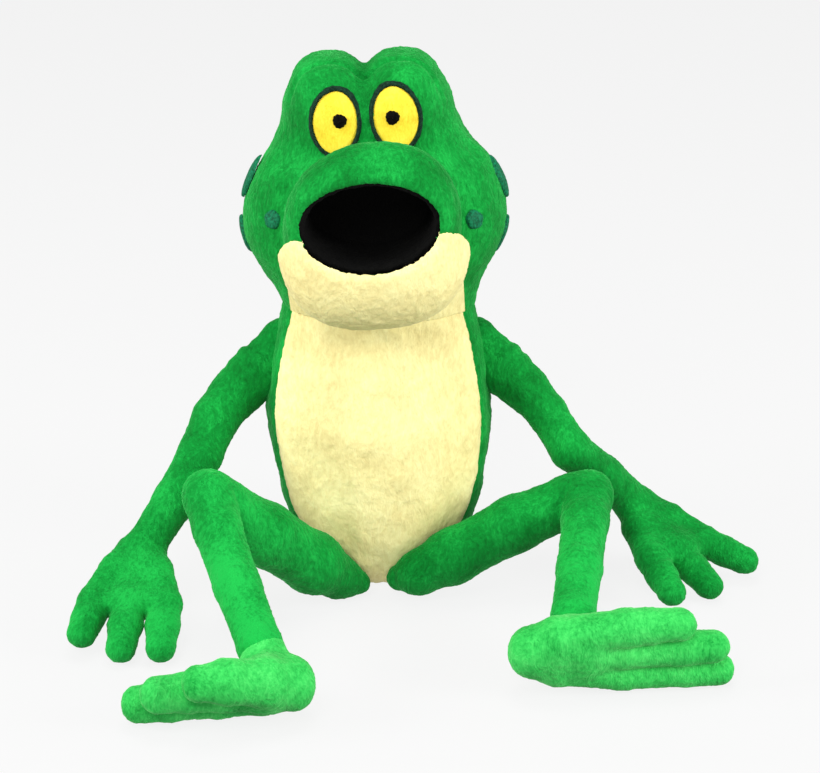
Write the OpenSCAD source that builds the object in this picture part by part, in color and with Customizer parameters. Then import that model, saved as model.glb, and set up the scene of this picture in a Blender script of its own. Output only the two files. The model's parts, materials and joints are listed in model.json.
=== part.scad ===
// Hand puppet: a sitting plush frog with a moving mouth and soft, jointed arms and legs.
// Millimetres. +Z up, the face looks along -Y, the origin is the centre of the seat on the floor.
// "right" and "left" are the puppet's own; its right hand is on the -X side.

/* [Body] */
// Half width of the torso at its fullest
torso_half_w = 64; // [61:1:66]
// Height of the torso from the seat to the neck
torso_h = 152; // [150:1:153]
// Half angle covered by the cream belly panel
belly_half_deg = 62; // [54:1:68]
// Bore radius of the hand opening in the back
cuff_bore_r = 38; // [34:1:38]
// Thickness of the plush cloth with its pile
cloth_t = 2; // [1.6:0.1:2.2]
// Thickness of the padding round the hand sleeve
padding_t = 7; // [4:1:8]

/* [Head] */
// Half width of the head at the cheeks
head_half_w = 74; // [72:1:76]
// Sideways lean of the head
head_roll_deg = 3.5; // [0:0.5:5]
// Half width of the mouth opening
mouth_half_w = 36.5; // [35:0.5:36.5]
// Height of the snout above the mouth corners
snout_rise = 45.5; // [44:0.5:47]
// Depth of the lower jaw below the mouth corners
jaw_drop = 53.5; // [50:0.5:54]
// Half width of an eye
eye_half_w = 11.5; // [9:0.5:12]
// Half height of an eye
eye_half_h = 12; // [11:0.5:14]

/* [Arms] */
// Shoulder to elbow
upper_arm_len = 73; // [70:1:76]
// Elbow to wrist
forearm_len = 61; // [58:1:64]
// Radius of the upper arm
upper_arm_r = 13.5; // [12:0.5:14]
// Radius of the forearm
forearm_r = 11.5; // [10.5:0.5:12]

/* [Legs] */
// Hip to knee
thigh_len = 107.5; // [105:0.5:110]
// Knee to ankle
shin_len = 98.5; // [96:0.5:101]
// Radius of the thigh
thigh_r = 15; // [13.5:0.5:15.5]
// Radius of the shin
shin_r = 12.5; // [11.5:0.5:13]

/* [Hidden] */
torso_node_list = ["belly_panel", "right_side_panel", "left_side_panel", "back_panel", "seat_panel",
                   "hand_cuff", "cuff_hem", "hand_sleeve", "torso_padding", "neck_band"];
head_node_list = ["head_back_panel", "forehead_panel", "right_cheek_panel", "left_cheek_panel",
                  "crown_plate", "brow_humps", "crown_stuffing", "cheek_stuffing", "snout_panel",
                  "snout_stuffing", "finger_pocket", "mouth_roof_board", "mouth_roof_lining",
                  "mouth_back_lining", "right_eye_white", "right_eye_outline", "right_pupil",
                  "left_eye_white", "left_eye_outline", "left_pupil", "right_cheek_spots",
                  "left_cheek_spots"];
jaw_node_list = ["jaw_panel", "jaw_stuffing", "jaw_board", "mouth_floor_lining", "thumb_pocket"];
limb_node_list = ["right_upper_arm", "right_forearm", "right_hand", "left_upper_arm", "left_forearm",
                  "left_hand", "right_thigh", "right_shin", "right_foot", "left_thigh", "left_shin",
                  "left_foot"];
limb_fill_list = ["right_arm_stuffing", "right_forearm_stuffing", "left_arm_stuffing",
                  "left_forearm_stuffing", "right_thigh_stuffing", "right_shin_stuffing",
                  "left_thigh_stuffing", "left_shin_stuffing"];

green = [0.05, 0.66, 0.24];
dark_green = [0.02, 0.42, 0.20];
ring_green = [0.06, 0.18, 0.11];
cream = [0.96, 0.92, 0.66];
black = [0.03, 0.03, 0.03];
yellow = [0.90, 0.80, 0.20];
lining_grey = [0.72, 0.74, 0.72];
fill_white = [0.95, 0.95, 0.92];

gap = 0.4;
liner_t = 1.2;
board_t = 1.5;

// ---- solids made from grids of points ----
function flat(rows) = [for (r = rows) for (p = r) p];
function six_vol(pts, f) = pts[f[0]] * cross(pts[f[1]], pts[f[2]]);
function total(v, i = 0, s = 0) = i == len(v) ? s : total(v, i + 1, s + v[i]);
function turned(pts, faces) =
    total([for (f = faces) six_vol(pts, f)]) > 0 ? [for (f = faces) [f[2], f[1], f[0]]] : faces;
function quad(a, b, c, d) = [[a, b, c], [a, c, d]];
function strips(rows_n, cols_n, base, wrap) = [
    for (i = [0:rows_n - 2]) for (j = [0:cols_n - (wrap ? 1 : 2)])
        for (t = quad(base + i * cols_n + j, base + i * cols_n + (j + 1) % cols_n,
                      base + (i + 1) * cols_n + (j + 1) % cols_n, base + (i + 1) * cols_n + j)) t
];
function flipped(faces) = [for (f = faces) [f[2], f[1], f[0]]];

// A sheet of cloth or padding between an outer and an inner grid of points.
module slab(outer, inner, wrap = false) {
    n = len(outer);
    m = len(outer[0]);
    k = n * m;
    pts = concat(flat(outer), flat(inner));
    ends = [for (i = [0, n - 1]) for (j = [0:m - (wrap ? 1 : 2)])
        for (t = quad(i * m + j, k + i * m + j, k + i * m + (j + 1) % m, i * m + (j + 1) % m))
            i == 0 ? t : [t[2], t[1], t[0]]];
    sides = wrap ? [] : [for (j = [0, m - 1]) for (i = [0:n - 2])
        for (t = quad(i * m + j, (i + 1) * m + j, k + (i + 1) * m + j, k + i * m + j))
            j == 0 ? t : [t[2], t[1], t[0]]];
    faces = concat(strips(n, m, 0, wrap), flipped(strips(n, m, k, wrap)), ends, sides);
    polyhedron(points = pts, faces = turned(pts, faces));
}

// A filled body through a stack of closed rings, or a closed hoop when ring_loop is true.
module stack(rings, ring_loop = false) {
    m = len(rings[0]);
    n = len(rings);
    body_pts = flat(rings);
    mid0 = total_vec(rings[0]) / m;
    mid1 = total_vec(rings[n - 1]) / m;
    pts = ring_loop ? body_pts : concat(body_pts, [mid0, mid1]);
    wall = strips(n, m, 0, true);
    last = (n - 1) * m;
    joined = [for (j = [0:m - 1]) for (t = quad(last + j, last + (j + 1) % m, (j + 1) % m, j)) t];
    caps = concat([for (j = [0:m - 1]) [(j + 1) % m, j, n * m]],
                  [for (j = [0:m - 1]) [last + j, last + (j + 1) % m, n * m + 1]]);
    faces = concat(wall, ring_loop ? joined : caps);
    polyhedron(points = pts, faces = turned(pts, faces));
}
function total_vec(v, i = 0, s = [0, 0, 0]) = i == len(v) ? s : total_vec(v, i + 1, s + v[i]);

function steps(a, b, n) = [for (i = [0:n]) a + (b - a) * i / n];
function unit(v) = v / norm(v);
function toward(az, el) = [cos(el) * cos(az), cos(el) * sin(az), sin(el)];
function level(d) = unit([-d[1], d[0], 0]);
function spun(v, k, a) = v * cos(a) + cross(k, v) * sin(a) + k * (k * v) * (1 - cos(a));

// ---- torso ----
torso_w_tab = [[0, 0.42], [0.03, 0.54], [0.10, 0.68], [0.20, 0.80], [0.33, 0.895], [0.47, 0.965],
               [0.66, 1], [0.82, 0.975], [0.92, 0.925], [1, 0.88]];
torso_d_tab = [[0, 0.40], [0.03, 0.50], [0.10, 0.61], [0.20, 0.70], [0.33, 0.78], [0.47, 0.82],
               [0.66, 0.84], [0.82, 0.81], [0.92, 0.77], [1, 0.72]];
torso_rows = [0.4, 5, 15, 30, 50, 72, 100, 124, 140, torso_h - gap];
function torso_hw(z) = torso_half_w * lookup(z / torso_h, torso_w_tab);
function torso_hd(z) = torso_half_w * lookup(z / torso_h, torso_d_tab);
function torso_pt(th, z, off) = [(torso_hw(z) + off) * sin(th), -(torso_hd(z) + off) * cos(th), z];
function torso_grid(th0, th1, n, rows, off) =
    [for (z = rows) [for (th = steps(th0, th1, n)) torso_pt(th, z, off)]];
module torso_sheet(th0, th1, n, rows, off_out, off_in) {
    slab(torso_grid(th0, th1, n, rows, off_out), torso_grid(th0, th1, n, rows, off_in));
}
side_end_deg = 125;
seat_r = 23;
seat_t = 2.4;
cuff_z = 50;
cuff_wall = 2;
cuff_in_y = 28;
cuff_out_y = 50;
// play between the cuff and the cloth of the back
cuff_play = 1.8;
cuff_hole_r = cuff_bore_r + cuff_wall + cuff_play;
hem_r = 1.6;

module belly_panel() {
    color(cream) torso_sheet(-belly_half_deg, belly_half_deg, 10, torso_rows, 0, -cloth_t);
}
module right_side_panel() {
    color(green) torso_sheet(-side_end_deg, -belly_half_deg, 5, torso_rows, 0, -cloth_t);
}
module left_side_panel() {
    color(green) torso_sheet(belly_half_deg, side_end_deg, 5, torso_rows, 0, -cloth_t);
}

// The back panel is a ring of cloth round the hand opening.
back_spokes = 24;
function edge_fit(a) = 1 / max(abs(cos(a)), abs(sin(a)));
function back_rim(a, off) =
    let (z = cuff_z + cuff_hole_r * sin(a), x = cuff_hole_r * cos(a))
    [x, sqrt(max(0, 1 - pow(x / torso_hw(z), 2))) * (torso_hd(z) + off), z];
function back_edge(a, off) =
    let (e = edge_fit(a), u = e * cos(a), w = e * sin(a),
         z = w > 0 ? cuff_z + w * (torso_h - gap - cuff_z) : cuff_z + w * (cuff_z - 0.4))
    torso_pt(180 - u * (180 - side_end_deg), z, off);
function back_mid(a, f, off) =
    let (p = back_rim(a, 0), q = back_edge(a, 0), z = p[2] + (q[2] - p[2]) * f,
         x = p[0] + (q[0] - p[0]) * f, hw = torso_hw(z))
    [x * (1 + off / hw), sqrt(max(0, 1 - pow(x / hw, 2))) * (torso_hd(z) + off), z];
function back_ring(f, off) =
    [for (j = [0:back_spokes - 1])
        let (a = 360 * j / back_spokes)
        f == 0 ? back_rim(a, off) : f == 1 ? back_edge(a, off) : back_mid(a, f, off)];
module back_panel() {
    fr = [0, 0.35, 0.7, 1];
    color(green) slab([for (f = fr) back_ring(f, 0)], [for (f = fr) back_ring(f, -cloth_t)], true);
}
module seat_panel() {
    color(green) cylinder(h = seat_t, r = seat_r, $fn = 96);
}
module hand_cuff() {
    color(green) translate([0, cuff_in_y, cuff_z]) rotate([-90, 0, 0]) difference() {
        cylinder(h = cuff_out_y - cuff_in_y, r = cuff_bore_r + cuff_wall, $fn = 96);
        translate([0, 0, -1]) cylinder(h = cuff_out_y - cuff_in_y + 2, r = cuff_bore_r, $fn = 96);
    }
}
module cuff_hem() {
    color(green) translate([0, cuff_out_y + hem_r + 0.1, cuff_z]) rotate([-90, 0, 0])
        rotate_extrude($fn = 96) translate([cuff_bore_r + hem_r + 0.2, 0]) circle(r = hem_r, $fn = 24);
}

// Rings of the lining that guides the hand from the back opening up to the neck:
// centre y, centre z, tilt, half width, half depth.
sleeve_rows = [[cuff_in_y - 0.6, cuff_z, 0, cuff_bore_r + 1.4, cuff_bore_r + 1.4], [12, 55, 20, 39, 36],
               [3, 66, 45, 40, 36], [-1, 84, 72, 42, 37], [-3, 105, 90, 43, 37.5],
               [-2, 130, 90, 44, 37.5], [-1, torso_h - 2, 90, 44.5, 36.5]];
sleeve_sides = 20;
function sleeve_ring(r, off) =
    [for (j = [0:sleeve_sides - 1])
        let (a = 360 * j / sleeve_sides, s = (r[4] + off) * sin(a))
        [(r[3] + off) * cos(a), r[0] + s * sin(r[2]), r[1] + s * cos(r[2])]];
module hand_sleeve() {
    color(lining_grey) slab([for (r = sleeve_rows) sleeve_ring(r, 0)],
                            [for (r = sleeve_rows) sleeve_ring(r, -liner_t)], true);
}
padding_half_deg = 100;
padding_rows = [10, 30, 50, 72, 100, 124, 146];
padding_out = -cloth_t - gap;
module torso_padding() {
    color(fill_white) torso_sheet(-padding_half_deg, padding_half_deg, 12, padding_rows, padding_out,
                                  padding_out - padding_t);
}

// ---- neck ----
neck_rows = [[torso_h + 1.4, 51.8, 40.6], [torso_h + 8, 52.2, 41.8], [torso_h + 14, 52.4, 42.2]];
neck_sides = 24;
function neck_ring(r, off) =
    [for (j = [0:neck_sides - 1])
        let (a = 360 * j / neck_sides) [(r[1] + off) * cos(a), (r[2] + off) * sin(a), r[0]]];
module neck_band() {
    color(green) slab([for (r = neck_rows) neck_ring(r, 0)],
                      [for (r = neck_rows) neck_ring(r, -cloth_t)], true);
}

// ---- head, drawn upright and then leaned about the foot of the neck ----
lean_z = 165;
module leaned() {
    translate([0, 0, lean_z]) rotate([0, -head_roll_deg, 0]) translate([0, 0, -lean_z]) children();
}
head_base_z = 167.5;
head_top_z = 288;
face_low_z = 262;
face_half_deg = 42;
// height, half width as a fraction of the cheeks, half depth forward, half depth back
head_w_tab = [[167, 0.755], [175, 0.82], [185, 0.885], [200, 0.98], [218, 1], [232, 0.95],
              [245, 0.885], [261, 0.735], [278, 0.655], [288, 0.61]];
head_f_tab = [[167, 47], [175, 49], [185, 51], [200, 52], [218, 51], [232, 50], [245, 47],
              [261, 43], [278, 40], [288, 36]];
head_b_tab = [[167, 47], [175, 50], [185, 52], [200, 54], [218, 56], [232, 56], [245, 54],
              [261, 50], [278, 44], [288, 38]];
function head_hw(z) = head_half_w * lookup(z, head_w_tab);
function head_pt(th, z, off) =
    let (hd = cos(th) > 0 ? lookup(z, head_f_tab) : lookup(z, head_b_tab))
    [(head_hw(z) + off) * sin(th), -(hd + off) * cos(th), z];
function head_grid(th0, th1, n, rows, off) =
    [for (z = rows) [for (th = steps(th0, th1, n)) head_pt(th, z, off)]];
module head_sheet(th0, th1, n, rows, off_out, off_in) {
    slab(head_grid(th0, th1, n, rows, off_out), head_grid(th0, th1, n, rows, off_in));
}
low_rows = [head_base_z, 175, 185, 200, 218, 232, 245, face_low_z - gap];
full_rows = [head_base_z, 175, 185, 200, 218, 232, 245, face_low_z, 278, head_top_z];
high_rows = [face_low_z, 270, 278, head_top_z];
module head_back_panel() {
    color(green) leaned() head_sheet(90, 270, 14, full_rows, 0, -cloth_t);
}
module forehead_panel() {
    color(green) leaned() head_sheet(-90, 90, 14, high_rows, 0, -cloth_t);
}
module right_cheek_panel() {
    color(green) leaned() head_sheet(-90, -face_half_deg, 5, low_rows, 0, -cloth_t);
}
module left_cheek_panel() {
    color(green) leaned() head_sheet(face_half_deg, 90, 5, low_rows, 0, -cloth_t);
}
function head_ring(z, off, n) = [for (j = [0:n - 1]) head_pt(360 * j / n, z, off)];
module crown_plate() {
    color(green) leaned()
        stack([head_ring(head_top_z - 2, -cloth_t - gap, 24), head_ring(head_top_z, -cloth_t - gap, 24)]);
}
hump_x = 21.5;
hump_rows = [[head_top_z + 0.3, 21.2, 33], [294, 20.6, 29], [300, 17.5, 23], [305, 12, 15], [308, 5, 7]];
module brow_humps() {
    color(green) leaned() for (side = [-1, 1])
        stack([for (r = hump_rows)
            [for (j = [0:17]) [side * hump_x + r[1] * cos(20 * j), r[2] * sin(20 * j), r[0]]]]);
}
module crown_stuffing() {
    color(fill_white) leaned() stack([for (z = [270, 278, 285]) head_ring(z, -cloth_t - 1, 20)]);
}
cheek_rows = [180, 200, 218, 232, 245];
cheek_from_deg = 52;
cheek_to_deg = 120;
cheek_in = -cloth_t - 12;
module cheek_stuffing() {
    color(fill_white) leaned() for (side = [-1, 1])
        slab(head_grid(side * cheek_from_deg, side * cheek_to_deg, 6, cheek_rows, -cloth_t - gap),
             head_grid(side * cheek_from_deg, side * cheek_to_deg, 6, cheek_rows, cheek_in));
}

// ---- snout: an arch of cloth over the mouth ----
snout_z = 225;
// y, half width, height above the mouth corners, share of the root sweep
snout_rows = [[-45.6, 46.5, snout_rise - 3, 1], [-56, 47, snout_rise - 0.5, 0.4],
              [-68, 47, snout_rise, 0], [-78, 45.5, snout_rise - 2.5, 0], [-85, 43, snout_rise - 8, 0],
              [-88.5, 40.5, snout_rise - 13.5, 0], [-89.3, 38.8, 28, 0], [-88, 37.9, 26.6, 0]];
root_sweep = 6;
arch_n = 12;
function arch(y, hw, h, sweep, a0, a1, n) =
    [for (a = steps(a0, a1, n)) [hw * cos(a), y + sweep * root_sweep * abs(cos(a)), snout_z + h * sin(a)]];
// The cloth rolls in at the rim of the mouth, in front of roll_y, and thins to rim_t there.
roll_y = -80;
rim_y = -89;
rim_t = 0.8;
function snout_side_t(y) = y < -88.2 ? rim_t : cloth_t;
function rim_cloth(y) = y < rim_y ? rim_t : cloth_t;
function roll_in(y) = y < roll_y ? cloth_t : 0;
module snout_panel() {
    color(green) leaned() slab([for (r = snout_rows) arch(r[0], r[1], r[2], r[3], 0, 180, arch_n)],
        [for (r = snout_rows) arch(r[0] + roll_in(r[0]), r[1] - snout_side_t(r[0]), r[2] - rim_cloth(r[0]),
                                   r[3], 0, 180, arch_n)]);
}
roof_rows = [[-86, mouth_half_w, 25], [-70, mouth_half_w, 23.5], [-54, mouth_half_w, 21.5],
             [-41, mouth_half_w - 1, 19.5]];
module arch_sheet(rows, off_out, off_in, a0, a1, n) {
    slab([for (r = rows) arch(r[0], r[1] + off_out, r[2] + off_out, 0, a0, a1, n)],
         [for (r = rows) arch(r[0], r[1] + off_in, r[2] + off_in, 0, a0, a1, n)]);
}
module mouth_roof_lining() {
    color(black) leaned() arch_sheet(roof_rows, liner_t, 0, 0, 180, arch_n);
}
board_rows = [[-82, mouth_half_w, 24.6], [-68, mouth_half_w, 23.3], [-54, mouth_half_w, 21.5],
              [-44, mouth_half_w - 0.8, 20]];
board_in = liner_t + 0.3;
board_out = board_in + board_t;
module mouth_roof_board() {
    color(lining_grey) leaned() arch_sheet(board_rows, board_out, board_in, 30, 150, 8);
}
fill_rows = [[-46, 44, snout_rise - 5.6], [-58, 44.3, snout_rise - 3.2], [-70, 44, snout_rise - 3],
             [-80, 41.6, snout_rise - 7.5]];
// stuffing starts this far outside the opening, clear of the boards
fill_clear = 4.2;
module snout_stuffing() {
    color(fill_white) leaned() for (a = [3, 132])
        slab([for (r = fill_rows) arch(r[0], r[1], r[2], 0, a, a + 45, 4)],
             [for (r = fill_rows) arch(r[0], mouth_half_w + fill_clear, 29, 0, a, a + 45, 4)]);
}
// y, centre height, half width, half height of the pocket for the fingers
finger_rows = [[-22, 253.7, 23, 6], [-40, 253.7, 20, 5.2], [-58, 255.6, 20, 5.4], [-70, 256.6, 18, 5.2],
               [-75, 256.6, 10, 3]];
pocket_sides = 16;
function squircle(c, w, h, y, n) =
    [for (j = [0:n - 1])
        let (a = 360 * (j + 0.5) / n, k = pow(pow(abs(cos(a)), 3) + pow(abs(sin(a)), 3), -1 / 3))
        [w * k * cos(a), y, c + h * k * sin(a)]];
module pocket(rows) {
    slab([for (r = rows) squircle(r[1], r[2], r[3], r[0], pocket_sides)],
         [for (r = rows) squircle(r[1], r[2] - liner_t, r[3] - liner_t, r[0], pocket_sides)], true);
}
module finger_pocket() {
    color(lining_grey) leaned() pocket(finger_rows);
}
// height and half width of the cloth that closes the back of the mouth
back_rows = [[203, 27], [212, 33], [225, 34], [238, 29], [244, 24]];
back_y = -39.8;
module mouth_back_lining() {
    color(black) leaned()
        slab([for (r = back_rows) [for (x = steps(-r[1], r[1], 6)) [x, back_y, r[0]]]],
             [for (r = back_rows) [for (x = steps(-r[1], r[1], 6)) [x, back_y + liner_t, r[0]]]]);
}

// ---- jaw: a trough of cloth under the mouth ----
jaw_z = 222;
hinge_y = -36;
hinge_z = 222;
gape_deg = 20;
jaw_corner = 2.5;
function jaw_top(y) = hinge_z - max(1, (hinge_y - y) * tan(gape_deg));
// y, half width, depth
jaw_rows = [[-47, 45, jaw_drop - 11], [-54, 48.5, jaw_drop - 5], [-64, 50, jaw_drop - 1],
            [-76, 50, jaw_drop], [-84, 47, jaw_drop - 4], [-88, 43, jaw_drop - 12],
            [-89.6, 40.4, jaw_drop - 22], [-88.4, 38.9, jaw_drop - 28.5]];
function trough_angle(y, d) = asin(pow(min(0.98, (jaw_z - jaw_top(y)) / d), jaw_corner / 2));
function trough(y, hw, d, f0, f1, n) =
    let (a0 = trough_angle(y, d))
    [for (f = steps(f0, f1, n))
        let (a = a0 + (180 - 2 * a0) * f, s = pow(sin(a), 2 / jaw_corner),
             c = sign(cos(a)) * pow(abs(cos(a)), 2 / jaw_corner))
        [-hw * c, y, jaw_z - d * s]];
function jaw_side_t(y) = y < -87.9 ? rim_t : cloth_t;
module jaw_panel() {
    color(cream) leaned() slab([for (r = jaw_rows) trough(r[0], r[1], r[2], 0, 1, 14)],
        [for (r = jaw_rows) trough(r[0] + roll_in(r[0]), r[1] - jaw_side_t(r[0]), r[2] - rim_cloth(r[0]),
                                   0, 1, 14)]);
}
floor_rows = [[-86, mouth_half_w, 22], [-70, mouth_half_w, 21.5], [-54, mouth_half_w, 20.5],
              [-42, mouth_half_w - 1.5, 19.5]];
module trough_sheet(rows, off_out, off_in, f0, f1, n) {
    slab([for (r = rows) trough(r[0], r[1] + off_out, r[2] + off_out, f0, f1, n)],
         [for (r = rows) trough(r[0], r[1] + off_in, r[2] + off_in, f0, f1, n)]);
}
module mouth_floor_lining() {
    color(black) leaned() trough_sheet(floor_rows, liner_t, 0, 0, 1, 12);
}
jaw_board_rows = [[-82, mouth_half_w - 1, 22], [-68, mouth_half_w - 1, 21.4], [-54, mouth_half_w - 1, 20.5],
                  [-45, mouth_half_w - 2, 19.8]];
module jaw_board() {
    color(lining_grey) leaned() trough_sheet(jaw_board_rows, board_out, board_in, 0.25, 0.75, 8);
}
jaw_fill_rows = [[-49, 42.4, jaw_drop - 13], [-58, 46.2, jaw_drop - 6.5], [-68, 47.2, jaw_drop - 4],
                 [-80, 45.6, jaw_drop - 6]];
module jaw_stuffing() {
    color(fill_white) leaned() for (f = [0.02, 0.62])
        slab([for (r = jaw_fill_rows) trough(r[0], r[1], r[2], f, f + 0.36, 6)],
             [for (r = jaw_fill_rows) trough(r[0], mouth_half_w + fill_clear, 27, f, f + 0.36, 6)]);
}
thumb_rows = [[-47, 190, 13, 7], [-60, 184.5, 14, 8.5], [-72, 183, 13, 8.5], [-80, 183.5, 8, 5]];
module thumb_pocket() {
    color(lining_grey) leaned() pocket(thumb_rows);
}

// ---- eyes and spots: thin shapes lying on the cloth of the head ----
// A point of an upright oval lying on the head, centred at (x, z), at share f of its size.
function on_head(x, z, off) =
    let (hw = head_hw(z), th = asin(max(-0.99, min(0.99, x / hw)))) head_pt(th, z, off);
function oval(x, z, hw, hh, f, off, n) =
    [for (j = [0:n - 1])
        let (a = 360 * j / n) on_head(x + hw * f * cos(a), z + hh * f * sin(a), off)];
module badge(x, z, hw, hh, lo, hi, n) {
    stack(concat([for (f = [0.15, 0.6, 1]) oval(x, z, hw, hh, f, lo, n)],
                 [for (f = [1, 0.6, 0.15]) oval(x, z, hw, hh, f, hi, n)]));
}
module hoop(x, z, hw, hh, grow, lo, hi, n) {
    stack([oval(x, z, hw, hh, 1, lo, n), oval(x, z, hw + grow, hh + grow, 1, lo, n),
           oval(x, z, hw + grow, hh + grow, 1, hi, n), oval(x, z, hw, hh, 1, hi, n)], true);
}
eye_x = 16.5;
eye_z = 273.6;
// clear gap round the yellow oval, then the width of its outline
ring_gap = 0.2;
eye_grow = 2.4;
pupil_r = 3.7;
module eye_white(side) {
    color(yellow) leaned() badge(side * eye_x, eye_z, eye_half_w, eye_half_h, 0.3, 1.3, 20);
}
module eye_outline(side) {
    color(ring_green) leaned()
        hoop(side * eye_x, eye_z, eye_half_w + ring_gap, eye_half_h + ring_gap, eye_grow, 0.3, 1.9, 24);
}
module pupil(side) {
    color(black) leaned() badge(side * (eye_x - 2), eye_z + 1, pupil_r, pupil_r, 1.4, 2.1, 12);
}
module right_eye_white() { eye_white(-1); }
module right_eye_outline() { eye_outline(-1); }
module right_pupil() { pupil(-1); }
module left_eye_white() { eye_white(1); }
module left_eye_outline() { eye_outline(1); }
module left_pupil() { pupil(1); }

// angle round the head, height, half width, half height of each embroidered spot
spot_list = [[50, 216, 4.4, 4.4], [86, 232, 6.5, 8], [84, 202, 6, 8]];
function turned_oval(th, z, hw, hh, f, off, n) =
    [for (j = [0:n - 1])
        let (a = 360 * j / n) head_pt(th + hw * f * cos(a) * 57.3 / head_hw(z), z + hh * f * sin(a), off)];
module cheek_spots(side) {
    color(dark_green) leaned() for (s = spot_list)
        stack(concat([for (f = [0.2, 1]) turned_oval(side * s[0], s[1], s[2], s[3], f, 0.3, 12)],
                     [for (f = [1, 0.2]) turned_oval(side * s[0], s[1], s[2], s[3], f, 1.2, 12)]));
}
module right_cheek_spots() { cheek_spots(-1); }
module left_cheek_spots() { cheek_spots(1); }

// ---- limbs ----
// Each limb is two half tubes of cloth, sewn along the sides, round a stuffed core.
seam_deg = 1.5;
function limb_pt(a, d, w, s, r, ang) = a + d * s + (w * cos(ang) + cross(d, w) * sin(ang)) * r;
function limb_grid(a, d, w, rows, off, ang0, n) =
    [for (r = rows) [for (ang = steps(ang0 + seam_deg, ang0 + 180 - seam_deg, n))
        limb_pt(a, d, w, r[0], r[1] + off, ang)]];
// the inner face of the cloth stops this far inside each end
end_trim = 0.1;
function inner_rows(rows) =
    [for (i = [0:len(rows) - 1])
        [rows[i][0] + (i == 0 ? end_trim : i == len(rows) - 1 ? -end_trim : 0), rows[i][1]]];
module limb_cloth(a, d, rows) {
    w = level(d);
    for (ang = [0, 180])
        slab(limb_grid(a, d, w, rows, 0, ang, 6), limb_grid(a, d, w, inner_rows(rows), -cloth_t, ang, 6));
}
module limb_core(a, d, rows) {
    w = level(d);
    last = len(rows) - 1;
    stack([for (i = [1:last - 1])
        [for (j = [0:9]) limb_pt(a, d, w, rows[i][0], rows[i][1] - cloth_t - 0.5, 36 * j)]]);
}
// A limb from one joint to the next: radius r, with rounded ends of radius r0 and r1 whose
// centres stand end0 and end1 in from the joints.
function sausage(len, r, end0, r0, end1, r1) =
    [[end0 - 0.85 * r0, 0.5 * r0], [end0 - 0.3 * r0, 0.93 * r0], [end0 + 0.6 * r, 0.9 * r],
     [0.4 * len, r], [0.66 * len, 0.96 * r], [len - end1 - 0.65 * r, 0.83 * r],
     [len - end1 + 0.3 * r1, 0.93 * r1], [len - end1 + 0.85 * r1, 0.5 * r1]];

arm_r_dir = toward(221.5, -39.3);
arm_l_dir = toward(-27.7, -42.3);
fore_r_dir = toward(229.7, -44.8);
fore_l_dir = toward(25.5, -42.6);
// Where the arm starts, measured out from the shoulder seam.
shoulder_in = 20;
shoulder_end_r = 9.5;
shoulder_r = [-62, 5, 128];
shoulder_l = [62, 5, 128];
elbow_r = shoulder_r + arm_r_dir * upper_arm_len;
elbow_l = shoulder_l + arm_l_dir * upper_arm_len;
wrist_r = elbow_r + fore_r_dir * forearm_len;
wrist_l = elbow_l + fore_l_dir * forearm_len;
arm_rows = sausage(upper_arm_len, upper_arm_r, shoulder_in, shoulder_end_r, 10.5, 9);
fore_rows = sausage(forearm_len, forearm_r, 10.5, 8.5, 9, 8);
module right_upper_arm() { color(green) limb_cloth(shoulder_r, arm_r_dir, arm_rows); }
module left_upper_arm() { color(green) limb_cloth(shoulder_l, arm_l_dir, arm_rows); }
module right_forearm() { color(green) limb_cloth(elbow_r, fore_r_dir, fore_rows); }
module left_forearm() { color(green) limb_cloth(elbow_l, fore_l_dir, fore_rows); }
module right_arm_stuffing() { color(fill_white) limb_core(shoulder_r, arm_r_dir, arm_rows); }
module left_arm_stuffing() { color(fill_white) limb_core(shoulder_l, arm_l_dir, arm_rows); }
module right_forearm_stuffing() { color(fill_white) limb_core(elbow_r, fore_r_dir, fore_rows); }
module left_forearm_stuffing() { color(fill_white) limb_core(elbow_l, fore_l_dir, fore_rows); }

thigh_r_dir = toward(213.9, 40.2);
thigh_l_dir = toward(2.4, 26.9);
shin_r_dir = toward(-67.6, -30.8);
shin_l_dir = toward(-98.6, -18.2);
hip_r = [-22.5, -49, 13.5];
hip_l = [22.5, -49, 13.5];
knee_r = hip_r + thigh_r_dir * thigh_len;
knee_l = hip_l + thigh_l_dir * thigh_len;
ankle_r = knee_r + shin_r_dir * shin_len;
ankle_l = knee_l + shin_l_dir * shin_len;
// The thigh turns about the middle of its own rounded end.
hip_end_r = 12;
thigh_rows = sausage(thigh_len, thigh_r, 0, hip_end_r, 16, 8);
shin_rows = sausage(shin_len, shin_r, 16, 8, 9, 8);
module right_thigh() { color(green) limb_cloth(hip_r, thigh_r_dir, thigh_rows); }
module left_thigh() { color(green) limb_cloth(hip_l, thigh_l_dir, thigh_rows); }
module right_shin() { color(green) limb_cloth(knee_r, shin_r_dir, shin_rows); }
module left_shin() { color(green) limb_cloth(knee_l, shin_l_dir, shin_rows); }
module right_thigh_stuffing() { color(fill_white) limb_core(hip_r, thigh_r_dir, thigh_rows); }
module left_thigh_stuffing() { color(fill_white) limb_core(hip_l, thigh_l_dir, thigh_rows); }
module right_shin_stuffing() { color(fill_white) limb_core(knee_r, shin_r_dir, shin_rows); }
module left_shin_stuffing() { color(fill_white) limb_core(knee_l, shin_l_dir, shin_rows); }

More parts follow.
